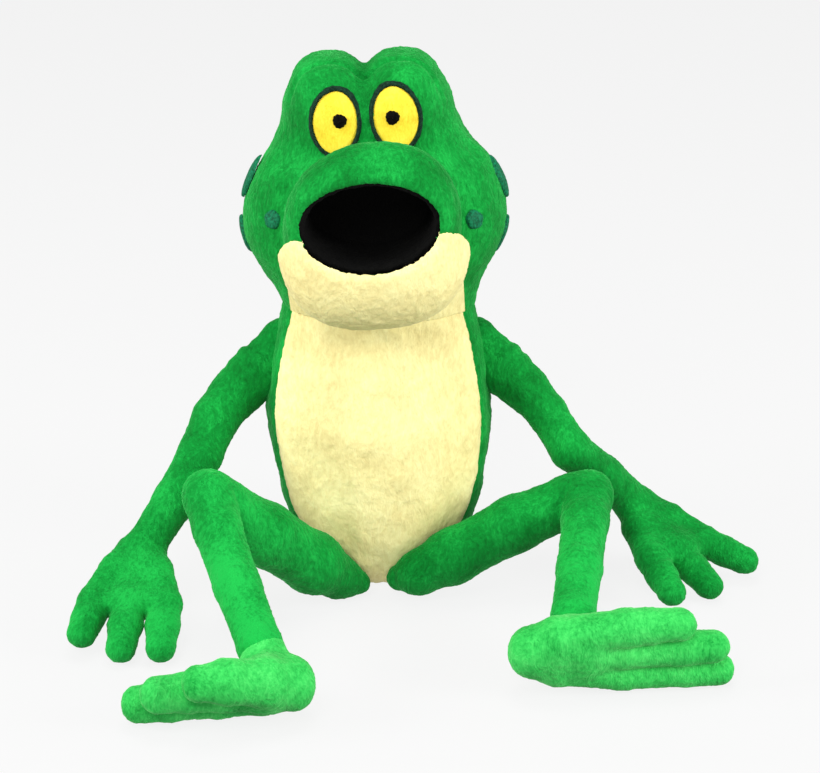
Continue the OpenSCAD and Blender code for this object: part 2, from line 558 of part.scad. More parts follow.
// ---- hands and feet: three padded rays side by side, each running out into a finger or toe ----
// o origin, d along, w across, rows of [share of length, centre offset share, half width, half thickness]
// side is -1, 0 or 1: which ray it is; facing sides are flat so that the rays lie snugly together.
function ray_pt(o, d, w, n, s, x, ang, hw, ht, side, snug) =
    let (c = cos(ang), sn = sin(ang), e = snug && c * side <= 0.01 ? 7 : 2.2,
         k = pow(pow(abs(c), e) + pow(abs(sn), e), -1 / e))
    o + d * s + w * (x + hw * k * c) + n * (ht * k * sn);
ray_sides = 14;
module ray(o, d, w, rows, side, snug_n) {
    n = cross(d, w);
    stack([for (i = [0:len(rows) - 1]) let (r = rows[i])
        [for (j = [0:ray_sides - 1])
            ray_pt(o, d, w, n, r[0], r[1], 360 * (j + 0.5) / ray_sides, r[2], r[3], side, i < snug_n)]]);
}
hand_start = 8;
palm_end = 40;
finger_r = 8.4;
finger_t = 7.8;
function finger_rows_of(length, spread, k) = [
    [hand_start, k * 6.4, 3, 6.5],
    [hand_start + 8, k * 8.8, 4.2, 9.5],
    [26, k * 14.6, 7.1, 10.5],
    [palm_end, k * 19.4, 9.5, 9.8],
    [palm_end + 5, k * 19.4 + 5 * tan(spread), finger_r, 9],
    [length - 8, k * 19.4 + (length - 8 - palm_end) * tan(spread), finger_r, finger_t],
    [length - 2, k * 19.4 + (length - 2 - palm_end) * tan(spread), 0.72 * finger_r, 0.72 * finger_t],
    [length, k * 19.4 + (length - palm_end) * tan(spread), 0.3 * finger_r, 0.3 * finger_t]];
hand_r_dir = toward(265.9, -24.8);
hand_l_dir = toward(-53.8, -24.5);
module hand(at, d, roll, lengths, spreads) {
    w = spun(level(d), d, roll);
    for (k = [-1:1]) ray(at, d, w, finger_rows_of(lengths[k + 1], spreads[k + 1], k), k, 4);
}
// finger lengths from the wrist and how far each finger turns out, thumb side last on the left hand
hand_r_lengths = [66, 75, 74];
hand_r_spreads = [-9, 0, 6];
hand_l_lengths = [74, 74, 66];
hand_l_spreads = [-12, 0, 26];
module right_hand() { color(green) hand(wrist_r, hand_r_dir, 0, hand_r_lengths, hand_r_spreads); }
module left_hand() { color(green) hand(wrist_l, hand_l_dir, 0, hand_l_lengths, hand_l_spreads); }

foot_r_heel = 26;
foot_l_heel = 34;
foot_r_depth = 18.4;
foot_l_depth = 24;
foot_half_t = 10.5;
function toe_rows_of(length, k, spread, heel) = [
    [-heel + 0.5, k * 7.2, 3.4, 4],
    [-heel + 5, k * 11, 5.2, 8],
    [-heel + 16, k * 14.6, 7.1, foot_half_t],
    [20, k * 16.4, 7.9, foot_half_t],
    [length - heel - 26, k * 16.6, 7.9, 9.8],
    [length - heel - 7, k * (16.6 + spread), 7.8, 9],
    [length - heel - 1.5, k * (16.6 + spread), 5.6, 6.5],
    [length - heel, k * (16.6 + spread), 2.4, 3]];
foot_r_dir = toward(194, 2);
foot_l_dir = toward(4, 0);
foot_r_tilt = 33;
foot_l_tilt = 107;
foot_r_lift = 3.2;
foot_l_lift = 0.4;
module foot(at, d, tilt, lift, lengths, heel, depth) {
    w = spun(level(d), d, tilt);
    n = cross(d, w);
    side = n[1] < 0 ? 1 : -1;
    for (k = [-1:1])
        ray(at + n * side * depth + w * lift, d, w, toe_rows_of(lengths[k + 1], k, 0.6, heel), k, 5);
}
// heel to toe tip of the three toes of each foot
toe_r_lengths = [99, 94, 72];
toe_l_lengths = [114, 118, 96];
module right_foot() {
    color(green) foot(ankle_r, foot_r_dir, foot_r_tilt, foot_r_lift, toe_r_lengths, foot_r_heel, foot_r_depth);
}
module left_foot() {
    color(green) foot(ankle_l, foot_l_dir, foot_l_tilt, foot_l_lift, toe_l_lengths, foot_l_heel, foot_l_depth);
}

belly_panel();
right_side_panel();
left_side_panel();
back_panel();
seat_panel();
hand_cuff();
cuff_hem();
hand_sleeve();
torso_padding();
neck_band();
head_back_panel();
forehead_panel();
right_cheek_panel();
left_cheek_panel();
crown_plate();
brow_humps();
crown_stuffing();
cheek_stuffing();
snout_panel();
snout_stuffing();
finger_pocket();
mouth_roof_board();
mouth_roof_lining();
mouth_back_lining();
right_eye_white();
right_eye_outline();
right_pupil();
left_eye_white();
left_eye_outline();
left_pupil();
right_cheek_spots();
left_cheek_spots();
jaw_panel();
jaw_stuffing();
jaw_board();
mouth_floor_lining();
thumb_pocket();
right_upper_arm();
right_forearm();
right_hand();
left_upper_arm();
left_forearm();
left_hand();
right_thigh();
right_shin();
right_foot();
left_thigh();
left_shin();
left_foot();
right_arm_stuffing();
right_forearm_stuffing();
left_arm_stuffing();
left_forearm_stuffing();
right_thigh_stuffing();
right_shin_stuffing();
left_thigh_stuffing();
left_shin_stuffing();
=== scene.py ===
"""A sitting plush frog hand puppet: soft skins, eyes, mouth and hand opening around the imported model."""
import json
import math

import bpy
import numpy as np
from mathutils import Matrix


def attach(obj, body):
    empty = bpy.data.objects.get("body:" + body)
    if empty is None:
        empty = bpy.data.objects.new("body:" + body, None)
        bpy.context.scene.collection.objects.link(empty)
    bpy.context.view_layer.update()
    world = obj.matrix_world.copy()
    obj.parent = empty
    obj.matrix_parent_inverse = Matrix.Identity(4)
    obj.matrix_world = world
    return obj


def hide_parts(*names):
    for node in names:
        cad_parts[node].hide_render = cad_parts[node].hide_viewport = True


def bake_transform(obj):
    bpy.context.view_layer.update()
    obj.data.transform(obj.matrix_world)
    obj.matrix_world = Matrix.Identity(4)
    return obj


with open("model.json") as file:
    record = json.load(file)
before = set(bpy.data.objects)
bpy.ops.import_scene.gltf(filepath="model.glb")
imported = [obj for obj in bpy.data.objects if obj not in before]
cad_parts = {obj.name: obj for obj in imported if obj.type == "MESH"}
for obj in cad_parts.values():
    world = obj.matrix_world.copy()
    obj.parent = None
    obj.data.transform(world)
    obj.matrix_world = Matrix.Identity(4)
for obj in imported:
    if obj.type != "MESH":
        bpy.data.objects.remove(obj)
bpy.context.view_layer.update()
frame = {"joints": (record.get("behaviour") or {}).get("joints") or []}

import openvdb
from mathutils import Vector
from mathutils.kdtree import KDTree

MM = 0.001
SEED = 20
JOINTS = {j["name"]: j for j in frame["joints"]}


def at(name):
    """Place of a joint in millimetres."""
    return np.array(JOINTS[name]["pos_m"], float) / MM


def unit(v):
    v = np.asarray(v, float)
    return v / np.linalg.norm(v)


def toward(azimuth, elevation):
    a, e = math.radians(azimuth), math.radians(elevation)
    return np.array([math.cos(e) * math.cos(a), math.cos(e) * math.sin(a), math.sin(e)])


def level(d):
    return unit([-d[1], d[0], 0.0])


def spun(v, axis, angle):
    a = math.radians(angle)
    return v * math.cos(a) + np.cross(axis, v) * math.sin(a) + axis * np.dot(axis, v) * (1 - math.cos(a))


# ---- the head leans sideways about the foot of the neck ----
LEAN = math.radians(3.5)
LEAN_Z = 165.0


def lean(p):
    p = np.asarray(p, float)
    x, y, z = p[..., 0], p[..., 1], p[..., 2] - LEAN_Z
    return np.stack([x * math.cos(LEAN) - z * math.sin(LEAN), y,
                     LEAN_Z + x * math.sin(LEAN) + z * math.cos(LEAN)], -1)


def unlean(P):
    x, y, z = P[0], P[1], P[2] - LEAN_Z
    return [x * math.cos(LEAN) + z * math.sin(LEAN), y, LEAN_Z - x * math.sin(LEAN) + z * math.cos(LEAN)]


# ---- distance fields on a regular grid ----
class Grid:
    def __init__(self, lo, hi, step):
        self.lo, self.step = np.array(lo, float), step
        count = np.ceil((np.array(hi, float) - self.lo) / step).astype(int) + 1
        axes = [self.lo[i] + step * np.arange(count[i]) for i in range(3)]
        self.P = [a.astype(np.float32) for a in np.meshgrid(*axes, indexing="ij")]

    def skin(self, field):
        """Points and quads of the surface where the field is zero; the quads face inward."""
        g = openvdb.FloatGrid(20.0)
        g.copyFromArray(np.ascontiguousarray(field, dtype=np.float32))
        points, quads = g.convertToQuads(0.0)
        return self.lo + np.asarray(points, float) * self.step, np.asarray(quads, np.int64)[:, ::-1]

    def sample(self, field, p):
        """The field at the points p, between grid places."""
        q = (np.asarray(p, float) - self.lo) / self.step
        i = np.clip(np.floor(q).astype(int), 0, np.array(field.shape) - 2)
        f = np.clip(q - i, 0, 1)
        out = 0.0
        for dx in (0, 1):
            for dy in (0, 1):
                for dz in (0, 1):
                    w = ((f[:, 0] if dx else 1 - f[:, 0]) * (f[:, 1] if dy else 1 - f[:, 1])
                         * (f[:, 2] if dz else 1 - f[:, 2]))
                    out = out + w * field[i[:, 0] + dx, i[:, 1] + dy, i[:, 2] + dz]
        return out

    def hit(self, field, start, way, reach, steps=160):
        """First place along each ray, coming in from its far end, where the field turns negative."""
        t = np.linspace(reach, 0, steps)
        found = np.zeros(len(start))
        last = np.full(len(start), 1.0)
        done = np.zeros(len(start), bool)
        for a, b in zip(t[:-1], t[1:]):
            value = self.sample(field, start + way * b)
            new = (~done) & (value < 0)
            share = last / np.maximum(last - value, 1e-6)
            found[new] = (a + (b - a) * share)[new]
            done |= new
            last = np.maximum(value, 1e-3)
        return start + way * found[:, None]


def smin(a, b, k):
    h = np.clip(0.5 + 0.5 * (b - a) / k, 0, 1)
    return b * (1 - h) + a * h - k * h * (1 - h)


def smax(a, b, k):
    return -smin(-a, -b, k)


def seg(P, a, b, ra, rb, flat=None):
    """A round cone from a to b; flat is (direction, share) where it is thinner."""
    a, b = np.asarray(a, float), np.asarray(b, float)
    d = b - a
    v = [P[i] - np.float32(a[i]) for i in range(3)]
    t = np.clip((v[0] * d[0] + v[1] * d[1] + v[2] * d[2]) / float(d @ d), 0, 1)
    v = [v[i] - t * np.float32(d[i]) for i in range(3)]
    length2 = v[0] ** 2 + v[1] ** 2 + v[2] ** 2
    if flat is not None:
        n, share = flat
        along = v[0] * n[0] + v[1] * n[1] + v[2] * n[2]
        length2 = length2 + along ** 2 * (1 / share ** 2 - 1)
    return np.sqrt(length2) - (ra + t * (rb - ra))


def chain(P, points, radii, k=3.0, flat=None):
    out = None
    for i in range(len(points) - 1):
        s = seg(P, points[i], points[i + 1], radii[i], radii[i + 1], flat)
        out = s if out is None else smin(out, s, k)
    return out


def blob(P, centre, radii, powers=(2, 2, 2)):
    """A rounded box or egg: |x/a|^p + |y/b|^q + |z/c|^r = 1, scaled to about millimetres."""
    s = sum(np.abs((P[i] - centre[i]) / radii[i]) ** powers[i] for i in range(3))
    return (s ** (1 / max(powers)) - 1) * min(radii)


def table(z, rows, column):
    """A column of rows at the heights z, with its corners rounded off."""
    rows = np.asarray(rows, float)
    fine = np.linspace(rows[0, 0], rows[-1, 0], 400)
    value = np.interp(fine, rows[:, 0], rows[:, column])
    pad = 14
    wide = np.pad(value, pad, mode="reflect", reflect_type="odd")
    kernel = np.hanning(2 * pad + 1)
    value = np.convolve(wide, kernel / kernel.sum(), mode="valid")
    return np.interp(z, fine, value).astype(np.float32)


# ---- noise for pile and stuffing ----
LATTICE_SIDE = 48
LATTICE = np.random.default_rng(SEED).random((LATTICE_SIDE,) * 3).astype(np.float32) * 2 - 1


def noise(p, scale, shift=0.0):
    """Smooth values from -1 to 1 that change over about scale millimetres."""
    q = np.asarray(p, float) / scale + shift
    i = np.floor(q).astype(int)
    f = q - i
    f = f * f * (3 - 2 * f)
    out = np.zeros(len(q))
    for dx in (0, 1):
        for dy in (0, 1):
            for dz in (0, 1):
                w = ((f[:, 0] if dx else 1 - f[:, 0]) * (f[:, 1] if dy else 1 - f[:, 1])
                     * (f[:, 2] if dz else 1 - f[:, 2]))
                j = (i + (dx, dy, dz)) % LATTICE_SIDE
                out += w * LATTICE[j[:, 0], j[:, 1], j[:, 2]]
    return out


def normals_of(points, quads):
    """Normal at each point, on the side that the quads face."""
    a, b, c, d = (points[quads[:, i]] for i in range(4))
    face = np.cross(c - a, d - b)
    out = np.zeros_like(points)
    for i in range(4):
        np.add.at(out, quads[:, i], face)
    return out / np.maximum(np.linalg.norm(out, axis=1, keepdims=True), 1e-12)


def neighbours_mean(points, quads, turns):
    """Evens the surface out a little."""
    edges = np.concatenate([quads[:, [0, 1]], quads[:, [1, 2]], quads[:, [2, 3]], quads[:, [3, 0]]])
    edges = np.concatenate([edges, edges[:, ::-1]])
    count = np.bincount(edges[:, 0], minlength=len(points))[:, None]
    for _ in range(turns):
        total = np.stack([np.bincount(edges[:, 0], weights=points[edges[:, 1], i], minlength=len(points))
                          for i in range(3)], -1)
        points = points + 0.5 * (total / np.maximum(count, 1) - points)
    return points


def snap(p, q, normal, value_at, reach):
    """Slides the points along a seam onto it; says which faces lie on its outer side."""
    side = value_at(p)[q].mean(axis=1) > 0
    on = np.zeros((2, len(p)), bool)
    on[0, q[side].ravel()] = True
    on[1, q[~side].ravel()] = True
    both = np.flatnonzero(on[0] & on[1])
    p = p.copy()
    h = 0.3
    for _ in range(2):
        at_seam, n = p[both], normal[both]
        slopes = [(value_at(at_seam + h * e) - value_at(at_seam - h * e)) / (2 * h) for e in np.eye(3)]
        grad = np.stack(slopes, -1)
        grad -= np.sum(grad * n, axis=1, keepdims=True) * n
        move = -grad * (value_at(at_seam) / np.maximum(np.sum(grad ** 2, axis=1), 0.05))[:, None]
        size = np.linalg.norm(move, axis=1, keepdims=True)
        p[both] += move * np.minimum(1, reach / np.maximum(size, 1e-9))
    return p, side


PILE_COARSE, PILE_MID, PILE_FINE = 0.20, 0.26, 0.26


def pile(points, normal, strength=1.0, lumps=0.5):
    """Short pile lying in combed patches, over slightly uneven stuffing."""
    swirl = np.stack([noise(points, 34, s) for s in (3.1, 7.7, 12.3)], -1) * 3.0
    q = points + swirl
    squeezed = q * np.array([1.0, 1.0, 0.55])
    h = (PILE_COARSE * noise(squeezed, 4.6, 1.3) + PILE_MID * noise(squeezed, 2.1, 5.9)
         + PILE_FINE * noise(q, 1.15, 9.2)) * strength
    h = h + lumps * noise(points, 26, 2.2) + 0.4 * lumps * noise(points, 11, 4.4)
    return points + normal * h[:, None]


# ---- cloth: a coarse copy of a skin is simulated under pressure, with part of it held still ----
# The quads face inward, so the pressure draws the copy in.
CLOTH_STEP, CLOTH_CAP, CLOTH_FRAMES = 5.0, 2.4, 20
# the copy starts this much smaller than the skin, in millimetres
SMALLER = 0.8


def pressed(grid_box, field_of, held):
    """Coarse points and how far each one moves, in millimetres; held says which stay put."""
    g = Grid(*grid_box, CLOTH_STEP)
    p, q = g.skin(field_of(g.P))
    mesh = bpy.data.meshes.new("cloth_copy")
    mesh.from_pydata((p * MM).tolist(), [], q.tolist())
    o = bpy.data.objects.new("cloth_copy", mesh)
    bpy.context.scene.collection.objects.link(o)
    pins = o.vertex_groups.new(name="held")
    pins.add([int(i) for i in np.flatnonzero(held(p))], 1.0, "REPLACE")
    cloth = o.modifiers.new("Cloth", "CLOTH")
    cloth.settings.quality = 5
    cloth.settings.mass = 0.12
    cloth.settings.tension_stiffness = 9
    cloth.settings.compression_stiffness = 9
    cloth.settings.bending_stiffness = 0.3
    cloth.settings.vertex_group_mass = "held"
    cloth.settings.use_pressure = True
    cloth.settings.uniform_pressure_force = 4.0
    cloth.settings.effector_weights.gravity = 0.0
    cloth.collision_settings.use_collision = False
    cloth.point_cache.frame_start = 1
    cloth.point_cache.frame_end = CLOTH_FRAMES
    for f in range(1, CLOTH_FRAMES + 1):
        bpy.context.scene.frame_set(f)
    done = o.evaluated_get(bpy.context.evaluated_depsgraph_get())
    after = np.empty(len(p) * 3)
    done.data.vertices.foreach_get("co", after)
    push = after.reshape(-1, 3) / MM - p
    bpy.data.objects.remove(o)
    bpy.data.meshes.remove(mesh)
    bpy.context.scene.frame_set(1)
    size = np.linalg.norm(push, axis=1, keepdims=True)
    push *= CLOTH_CAP * np.tanh(size / CLOTH_CAP) / np.maximum(size, 1e-9)
    return p, push


def settle(p, soft):
    """Moves each point of the fine skin as the nearest points of the coarse copy moved."""
    coarse, push = soft
    tree = KDTree(len(coarse))
    for i, v in enumerate(coarse):
        tree.insert(v, i)
    tree.balance()
    near = [tree.find_n(v, 6) for v in p]
    index = np.array([[n[1] for n in row] for row in near])
    away = np.array([[n[2] for n in row] for row in near])
    weight = 1 / (away + 0.8) ** 2
    weight /= weight.sum(axis=1, keepdims=True)
    return p + (push[index] * weight[:, :, None]).sum(axis=1)


# ---- materials ----
def tree_of(name):
    m = bpy.data.materials.new(name)
    m.use_nodes = True
    t = m.node_tree
    for n in list(t.nodes):
        t.nodes.remove(n)
    out = t.nodes.new("ShaderNodeOutputMaterial")
    b = t.nodes.new("ShaderNodeBsdfPrincipled")
    t.links.new(b.outputs[0], out.inputs[0])
    return m, t, b


def noise_node(t, coord, scale, detail=2.0, rough=0.5, stretch=None, turn=None):
    if stretch or turn:
        mp = t.nodes.new("ShaderNodeMapping")
        mp.inputs["Scale"].default_value = stretch or (1, 1, 1)
        mp.inputs["Rotation"].default_value = turn or (0, 0, 0)
        t.links.new(coord, mp.inputs["Vector"])
        coord = mp.outputs[0]
    n = t.nodes.new("ShaderNodeTexNoise")
    n.inputs["Scale"].default_value = scale
    n.inputs["Detail"].default_value = detail
    n.inputs["Roughness"].default_value = rough
    t.links.new(coord, n.inputs["Vector"])
    return n.outputs[0]


def math_node(t, op, a, b):
    n = t.nodes.new("ShaderNodeMath")
    n.operation = op
    for i, v in enumerate((a, b)):
        if isinstance(v, (int, float)):
            n.inputs[i].default_value = v
        else:
            t.links.new(v, n.inputs[i])
    return n.outputs[0]


def bump_node(t, b, height, strength, distance):
    n = t.nodes.new("ShaderNodeBump")
    n.inputs["Strength"].default_value = strength
    n.inputs["Distance"].default_value = distance
    t.links.new(height, n.inputs["Height"])
    t.links.new(n.outputs[0], b.inputs["Normal"])


def fade(t, value, start, end, top):
    """Rises smoothly from nothing at start to top at end."""
    n = t.nodes.new("ShaderNodeMapRange")
    n.interpolation_type = "SMOOTHSTEP"
    for key, v in (("From Min", start), ("From Max", end), ("To Min", 0.0), ("To Max", top)):
        n.inputs[key].default_value = v
    t.links.new(value, n.inputs["Value"])
    return n.outputs[0]


def ramp(t, value, stops):
    n = t.nodes.new("ShaderNodeValToRGB")
    e = n.color_ramp.elements
    while len(e) < len(stops):
        e.new(0.5)
    for i, (pos, colour) in enumerate(stops):
        e[i].position = pos
        e[i].color = (*colour, 1)
    t.links.new(value, n.inputs[0])
    return n.outputs[0]


def plush(name, dark, mid, light, sheen=0.25, sheen_tint=(1, 1, 1), bump=0.6, patch=38.0, strand=520.0,
          painted_front_light=0.0, crease=0.0):
    """Short pile: patches and fine strands. crease paints shade into the colour by how sharply the cloth
    bends, and the painted front light makes the forward, lower cloth lighter."""
    m, t, b = tree_of(name)
    c = t.nodes.new("ShaderNodeTexCoord").outputs["Object"]
    warp = t.nodes.new("ShaderNodeVectorMath")
    warp.operation = "MULTIPLY_ADD"
    wn = t.nodes.new("ShaderNodeTexNoise")
    wn.inputs["Scale"].default_value = 45
    t.links.new(c, wn.inputs["Vector"])
    t.links.new(wn.outputs["Color"], warp.inputs[0])
    warp.inputs[1].default_value = (0.010, 0.010, 0.010)
    t.links.new(c, warp.inputs[2])
    wc = warp.outputs[0]
    patches = noise_node(t, wc, patch, 3, 0.55)
    strands = noise_node(t, wc, strand, 2, 0.6, (1.0, 1.0, 0.42))
    flecks = noise_node(t, wc, strand * 2.3, 1, 0.6, (1.0, 1.0, 0.5))
    patches = math_node(t, "MULTIPLY", patches, 0.50)
    mix = math_node(t, "ADD", patches, math_node(t, "MULTIPLY", strands, 0.34))
    mix = math_node(t, "ADD", mix, math_node(t, "MULTIPLY", flecks, 0.16))
    # painted light: the cloth is painted lighter towards the front and the bottom, where the lamps light it
    # more
    if painted_front_light:
        place = t.nodes.new("ShaderNodeSeparateXYZ")
        t.links.new(c, place.inputs[0])
        forward = fade(t, place.outputs[1], -0.055, -0.125, painted_front_light)
        lower = fade(t, place.outputs[2], 0.135, 0.105, 1.0)
        mix = math_node(t, "ADD", mix, math_node(t, "MULTIPLY", forward, lower))
    # painted shade: the tone shifts with how sharply the cloth bends, in place of the shade that gathers in
    # folds
    if crease:
        bend = t.nodes.new("ShaderNodeNewGeometry").outputs["Pointiness"]
        hollow = math_node(t, "MULTIPLY", math_node(t, "SUBTRACT", bend, 0.5), crease)
        mix = math_node(t, "ADD", mix, hollow)
    colour = ramp(t, mix, [(0.34, dark), (0.50, mid), (0.66, light)])
    t.links.new(colour, b.inputs["Base Color"])
    b.inputs["Roughness"].default_value = 0.92
    b.inputs["Specular IOR Level"].default_value = 0.10
    b.inputs["Sheen Weight"].default_value = sheen
    b.inputs["Sheen Roughness"].default_value = 0.35
    b.inputs["Sheen Tint"].default_value = (*sheen_tint, 1)
    bump_node(t, b, math_node(t, "ADD", strands, math_node(t, "MULTIPLY", flecks, 0.6)), bump, 0.0012)
    return m


def thread(name, dark, light, rough=0.6, spec=0.15):
    """Embroidery thread: fine bright and dark strands with a soft gloss."""
    m, t, b = tree_of(name)
    c = t.nodes.new("ShaderNodeTexCoord").outputs["Object"]
    strands = noise_node(t, c, 900.0, 3, 0.6, (1.0, 1.0, 0.6))
    t.links.new(ramp(t, strands, [(0.36, dark), (0.64, light)]), b.inputs["Base Color"])
    b.inputs["Roughness"].default_value = rough
    b.inputs["Specular IOR Level"].default_value = spec
    bump_node(t, b, strands, 0.5, 0.0004)
    return m


def weave(name, dark, light, pitch=1500.0):
    """Thin woven lining."""
    m, t, b = tree_of(name)
    c = t.nodes.new("ShaderNodeTexCoord").outputs["Object"]
    waves = []
    for turn in ((0, 0, 0.7), (0.8, 0, -0.7)):
        mp = t.nodes.new("ShaderNodeMapping")
        mp.inputs["Rotation"].default_value = turn
        t.links.new(c, mp.inputs["Vector"])
        w = t.nodes.new("ShaderNodeTexWave")
        w.inputs["Scale"].default_value = pitch
        w.inputs["Distortion"].default_value = 0.6
        t.links.new(mp.outputs[0], w.inputs["Vector"])
        waves.append(w.outputs[1])
    both = math_node(t, "MULTIPLY", waves[0], waves[1])
    cloudy = math_node(t, "MULTIPLY", noise_node(t, c, 60), 0.6)
    tone = math_node(t, "ADD", math_node(t, "MULTIPLY", both, 0.4), cloudy)
    t.links.new(ramp(t, tone, [(0.2, dark), (0.7, light)]), b.inputs["Base Color"])
    b.inputs["Roughness"].default_value = 0.95
    b.inputs["Specular IOR Level"].default_value = 0.08
    bump_node(t, b, both, 0.4, 0.0003)
    return m


# painted light and shade in the green: the front amount paints the forward, lower cloth lighter, and the
# crease amount paints shade by how sharply the cloth bends
GREEN = plush("green_plush_pile", (0.0003, 0.115, 0.012), (0.0014, 0.200, 0.024), (0.008, 0.340, 0.048),
              sheen=0.40, sheen_tint=(0.14, 0.80, 0.22), bump=0.6, painted_front_light=0.10, crease=0.35)
# painted light: a lighter copy of the same green for the feet, painted brighter for the light that falls on
# them; its crease amount is painted shade
GREEN_PAINTED_LIT = plush("green_plush_painted_lit", (0.004, 0.240, 0.030), (0.030, 0.430, 0.072),
                    (0.072, 0.600, 0.120), sheen=0.35, sheen_tint=(0.35, 1.0, 0.35), bump=0.6, crease=0.4)
# the cream's crease amount is painted shade by how sharply the cloth bends
CREAM = plush("cream_plush_pile", (0.650, 0.540, 0.225), (0.770, 0.675, 0.305), (0.860, 0.790, 0.390),
              sheen=0.10, sheen_tint=(1.0, 0.97, 0.85), bump=0.35, patch=30.0, strand=430.0, crease=0.15)
BLACK = plush("black_pile", (0.0006, 0.0006, 0.0005), (0.0011, 0.0011, 0.0009), (0.0022, 0.0022, 0.0018),
              sheen=0.0, bump=0.5)
YELLOW = plush("yellow_pile", (0.640, 0.440, 0.020), (0.790, 0.600, 0.040), (0.880, 0.700, 0.070),
               sheen=0.05, bump=0.25, patch=90.0, strand=900.0)
RING = thread("outline_satin", (0.002, 0.012, 0.006), (0.012, 0.042, 0.024), spec=0.06)
PUPIL = thread("pupil_satin", (0.0006, 0.0005, 0.0004), (0.0040, 0.0034, 0.0026), rough=0.7, spec=0.04)
SPOT = thread("spot_satin", (0.0005, 0.060, 0.022), (0.004, 0.170, 0.070), rough=0.6, spec=0.10)
LINING = weave("lining_weave", (0.30, 0.33, 0.30), (0.52, 0.56, 0.52))


# ---- pieces from points and faces in millimetres ----
def piece(name, points, faces, material, normals=None):
    faces = np.asarray(faces, np.int64)
    used, inverse = np.unique(faces, return_inverse=True)
    faces = inverse.reshape(faces.shape)
    points = np.asarray(points, float)[used]
    mesh = bpy.data.meshes.new(name)
    n, size = faces.shape
    mesh.vertices.add(len(points))
    mesh.vertices.foreach_set("co", (points * MM).astype(np.float32).ravel())
    mesh.loops.add(n * size)
    mesh.loops.foreach_set("vertex_index", faces.astype(np.int32).ravel())
    mesh.polygons.add(n)
    mesh.polygons.foreach_set("loop_start", np.arange(0, n * size, size, dtype=np.int32))
    mesh.update(calc_edges=True)
    mesh.polygons.foreach_set("use_smooth", np.ones(n, bool))
    mesh.materials.append(material)
    if normals is not None:
        mesh.normals_split_custom_set_from_vertices(np.asarray(normals, float)[used].tolist())
    o = bpy.data.objects.new(name, mesh)
    bpy.context.scene.collection.objects.link(o)
    return o


def stuffed(o):
    return o


def merge(parts):
    """Joins (points, faces) pairs of equal face size."""
    points, faces, start = [], [], 0
    for p, f in parts:
        points.append(p)
        faces.append(np.asarray(f) + start)
        start += len(p)
    return np.concatenate(points), np.concatenate(faces)


def ring_faces(rows, sides):
    """Quads between rings of points that each go once round."""
    i, j = np.meshgrid(np.arange(rows - 1), np.arange(sides), indexing="ij")
    k = (j + 1) % sides
    corners = [i * sides + j, i * sides + k, (i + 1) * sides + k, (i + 1) * sides + j]
    return np.stack(corners, -1).reshape(-1, 4)


# ---- head ----
STEP = 1.25
NECK_Z = 165.5
NECK_OVERLAP = 2.6
HEAD_X = 1.4
# height, half width, depth in front, depth behind
HEAD_ROWS = [[160, 53.5, 44, 44], [166, 54.3, 45.5, 45], [172, 56.4, 48, 48], [180, 60, 50, 51],
             [190, 66.4, 51.5, 53], [201, 72.0, 52, 55], [211, 74.2, 51.5, 56], [220, 74.4, 51, 56],
             [230, 72.4, 50, 56], [238, 69.0, 48.5, 55], [246, 64.8, 47, 54], [254, 59.0, 45, 52],
             [262, 54.0, 43, 50], [270, 50.4, 41.5, 47], [278, 48.2, 40, 44], [290, 45.5, 37, 39],
             [300, 42, 33, 34]]
MOUTH_X, MOUTH_Z, MOUTH_HALF_W, MOUTH_HALF_H = 0.8, 229.6, 35.6, 22.8
MOUTH_TILT = math.radians(0.2)


def mouth_field(U, grow=0.0):
    """The oval room of the mouth, narrowing towards its back."""
    c, s = math.cos(MOUTH_TILT), math.sin(MOUTH_TILT)
    x, z = U[0] - MOUTH_X, U[2] - MOUTH_Z
    u, w = x * c + z * s, -x * s + z * c
    deep = np.clip((U[1] + 86) / 44, 0, 1)
    a = (MOUTH_HALF_W + grow) * (1 - 0.06 * deep)
    b = (MOUTH_HALF_H + grow) * (1 - 0.10 * deep)
    ring = (np.sqrt((u / a) ** 2 + (w / b) ** 2) - 1) * (MOUTH_HALF_H + grow)
    return smax(ring, U[1] + 42 - grow, 4.0)


def face_field(U):
    """The head without its muzzle."""
    U = [U[0] - HEAD_X, U[1], U[2]]
    w, f, b = (table(U[2], HEAD_ROWS, i) for i in (1, 2, 3))
    d = np.where(U[1] < 0, f, b)
    ring = ((np.abs(U[0] / w) ** 2.15 + np.abs(U[1] / d) ** 2.15) ** (1 / 2.15) - 1) * np.minimum(w, d)
    head = smax(ring, U[2] - 291, 12.0)
    for side in (-1, 1):
        hump = blob(U, (side * 20.6, -4, 284), (22.8, 33, 24.8), (2.3, 2.2, 2.5))
        head = smin(head, hump, 7.0)
    return head


def muzzle_field(U):
    """The padded arch over the mouth: a dome that dips towards the eyes."""
    y = U[1] + 61
    reach = np.where(y < 0, 28.9, 40.0)
    z = U[2] - 225 + 0.30 * np.clip(U[1] + 68, 0, 40)
    x = U[0] - 1.6 - 0.075 * (U[2] - 225)
    s = (np.abs(x / 47.5) ** 2.2 + np.abs(z / 46.2) ** 2.2) ** (2.8 / 2.2) + np.abs(y / reach) ** 2.8
    return (s ** (1 / 2.8) - 1) * 36


LIP_Z, LIP_Y, LIP_SLOPE = 231.5, -88.0, 0.60


def lip(y):
    """Height of the seam between the green upper lip and the cream jaw."""
    return LIP_Z - LIP_SLOPE * np.clip(y - LIP_Y, -3, 60)


def head_field(P):
    """Face, muzzle and the seam over the crown, with the mouth left open and the neck cut level."""
    U = unlean(P)
    muzzle = smax(muzzle_field(U), lip(U[1]) - 8.0 - U[2], 4.0)
    head = smin(face_field(U), muzzle, 6.0)
    crown_seam = np.abs(U[1] + 19 + 0.0016 * U[0] ** 2)
    seam = np.exp(-(crown_seam / 1.3) ** 2) * np.clip((U[2] - 282) / 10, 0, 1)
    head = smax(head + 1.5 * seam, -mouth_field(U), 5.0)
    return smax(head, NECK_Z - NECK_OVERLAP - P[2], 1.0)


